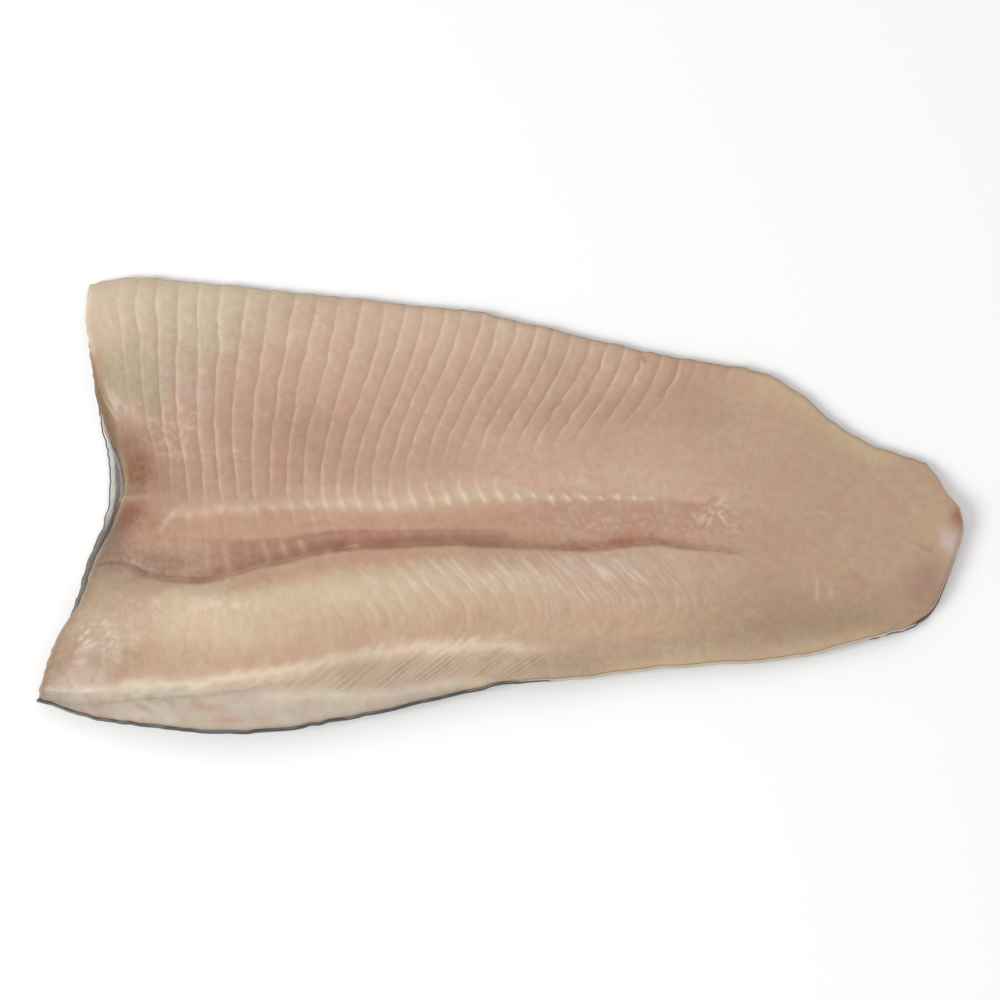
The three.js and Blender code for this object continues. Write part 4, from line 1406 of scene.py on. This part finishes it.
def outer_colour(tree, place, flank, scale_distance):
    wave = maths(tree, "SUBTRACT", noise(tree, place, 60.0), 0.5)
    wavy = maths(tree, "MULTIPLY_ADD", wave, 0.12, flank)
    upper = blend(tree, remap(tree, wavy, 0.12, 0.38), SKIN_COLOUR["back"], SKIN_COLOUR["upper_flank"])
    off_band = maths(tree, "ABSOLUTE", maths(tree, "SUBTRACT", wavy, 0.47))
    banded = blend(tree, remap(tree, off_band, 0.03, 0.12, 0.75, 0.0), upper, SKIN_COLOUR["pink"])
    lower = blend(tree, remap(tree, wavy, 0.55, 0.75), banded, SKIN_COLOUR["belly"])
    spotted = blend(tree, spots(tree), lower, SKIN_COLOUR["spot"])
    glint = remap(tree, scale_distance, 0.2, 0.7, 0.0, 0.35)
    return blend(tree, glint, spotted, SKIN_COLOUR["scale"], "SOFT_LIGHT")


def inner_colour(tree, place):
    uneven = noise(tree, place, 300.0)
    silvery = blend(tree, uneven, SKIN_COLOUR["silver_dark"], SKIN_COLOUR["silver_light"])
    return blend(tree, attribute(tree, "silver"), SKIN_COLOUR["dark_tissue_and_shade"], silvery)


def build_skin_material():
    material, tree, surface = new_material("trout_skin")
    place = node(tree, "ShaderNodeTexCoord").outputs["Object"]
    flank, pigment = attribute(tree, "flank"), attribute(tree, "pigment")
    scale_distance = cells(tree, 0.95, 0.35)["Distance"]
    outer = outer_colour(tree, place, flank, scale_distance)
    on_layer = remap(tree, pigment, 0.08, 0.25)
    layered = blend(tree, on_layer, inner_colour(tree, place), SKIN_COLOUR["cut_layer"])
    bare = blend(tree, remap(tree, pigment, 0.97, 1.0), layered, outer)
    colour = blend(tree, remap(tree, attribute(tree, "cling"), 0.3, 0.6), bare, SKIN_COLOUR["clinging"])
    gloss = {"Scale": 1.2, "Dry roughness": 0.42, "Wet roughness": 0.22}
    roughness, film_height = place_wet_film(tree, gloss)
    height = maths(tree, "MULTIPLY_ADD", scale_distance, 0.6, film_height)
    bump = node(tree, "ShaderNodeBump", {"Height": height, "Strength": 0.4, "Distance": 0.2 * MM})
    metallic = remap(tree, flank, 0.0, 1.0, 0.1, 0.35)
    feed(tree, surface, {"Base Color": colour, "Metallic": metallic, "Roughness": roughness})
    feed(tree, surface, {"Normal": bump.outputs["Normal"], "Coat Weight": 0.4, "Coat Roughness": 0.15})
    return material


skin.data.materials.append(build_skin_material())
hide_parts("skin")
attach(skin, "root")
print("skin material:", len(skin.data.materials[0].node_tree.nodes), "nodes")

# %% [markdown]
# ## Floor and light
#
# The fillet lies on a plain white floor. A large soft light comes from the head end and a little from the
# back's side, as in the photograph, so that it grazes the grooves, with a weaker one opposite and an even
# white surround. An image of a studio could light it too, but two lights are easier to change.

# %% Floor and light
FLOOR_HALF = 3.0  # metres
SURROUND = 0.55  # strength of the white world


def white_floor():
    mesh = bpy.data.meshes.new("floor")
    corners = [(-1, -1), (1, -1), (1, 1), (-1, 1)]
    mesh.from_pydata([(x * FLOOR_HALF, y * FLOOR_HALF, 0) for x, y in corners], [], [(0, 1, 2, 3)])
    floor = add_object("floor", mesh)
    material, tree, surface = new_material("white_floor")
    feed(tree, surface, {"Base Color": (0.985, 0.985, 0.98, 1), "Roughness": 0.7})
    floor.data.materials.append(material)
    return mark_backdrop(floor)


def soft_light(name, place, size, power):
    """A square area light at a place in metres, aimed at the fillet."""
    data = bpy.data.lights.new(name, "AREA")
    data.size, data.energy = size, power
    light = add_object(name, data)
    light.location = place
    light.rotation_euler = Vector(place).to_track_quat("Z", "Y").to_euler()


white_floor()
soft_light("key", (-0.85, -0.38, 0.8), 0.55, 9.7)
soft_light("fill", (0.8, 0.6, 0.9), 1.2, 3.0)
world = bpy.data.worlds.new("surround")
bpy.context.scene.world = world
world.use_nodes = True
feed(world.node_tree, world.node_tree.nodes["Background"], {"Color": (1, 1, 1, 1), "Strength": SURROUND})

# %% [markdown]
# ## Camera
#
# The photograph was taken from almost straight above, 10 degrees off the vertical, from the back's side.
# The lens follows from the size of a pixel at the fillet, and the shift puts the middle of the fillet
# where the photograph has it, so that the two pictures can be laid over each other.

# %% Camera
CAMERA_ELEVATION = math.radians(80)
CAMERA_DISTANCE = 0.56  # metres
CAMERA_TARGET = Vector((0, 0, 5 * MM))
METRES_PER_PIXEL = 0.26 * MM  # at the target
IMAGE_SIDE = 1000  # pixels
PHOTO_CENTRE = (504.5, 500.0)  # the pixel where the target shows


def make_camera():
    data = bpy.data.cameras.new("camera")
    camera = add_object("camera", data)
    back = Vector((0, -math.cos(CAMERA_ELEVATION), math.sin(CAMERA_ELEVATION)))
    camera.location = CAMERA_TARGET + back * CAMERA_DISTANCE
    camera.rotation_euler = back.to_track_quat("Z", "Y").to_euler()
    data.sensor_width = 36
    data.lens = CAMERA_DISTANCE / METRES_PER_PIXEL * data.sensor_width / IMAGE_SIDE
    data.shift_x = (IMAGE_SIDE / 2 - PHOTO_CENTRE[0]) / IMAGE_SIDE
    data.shift_y = (PHOTO_CENTRE[1] - IMAGE_SIDE / 2) / IMAGE_SIDE
    data.clip_start = 0.01
    bpy.context.scene.camera = camera
    return camera


camera = make_camera()
bpy.context.scene.view_settings.view_transform = "Standard"
print("lens:", round(camera.data.lens, 1), "mm")
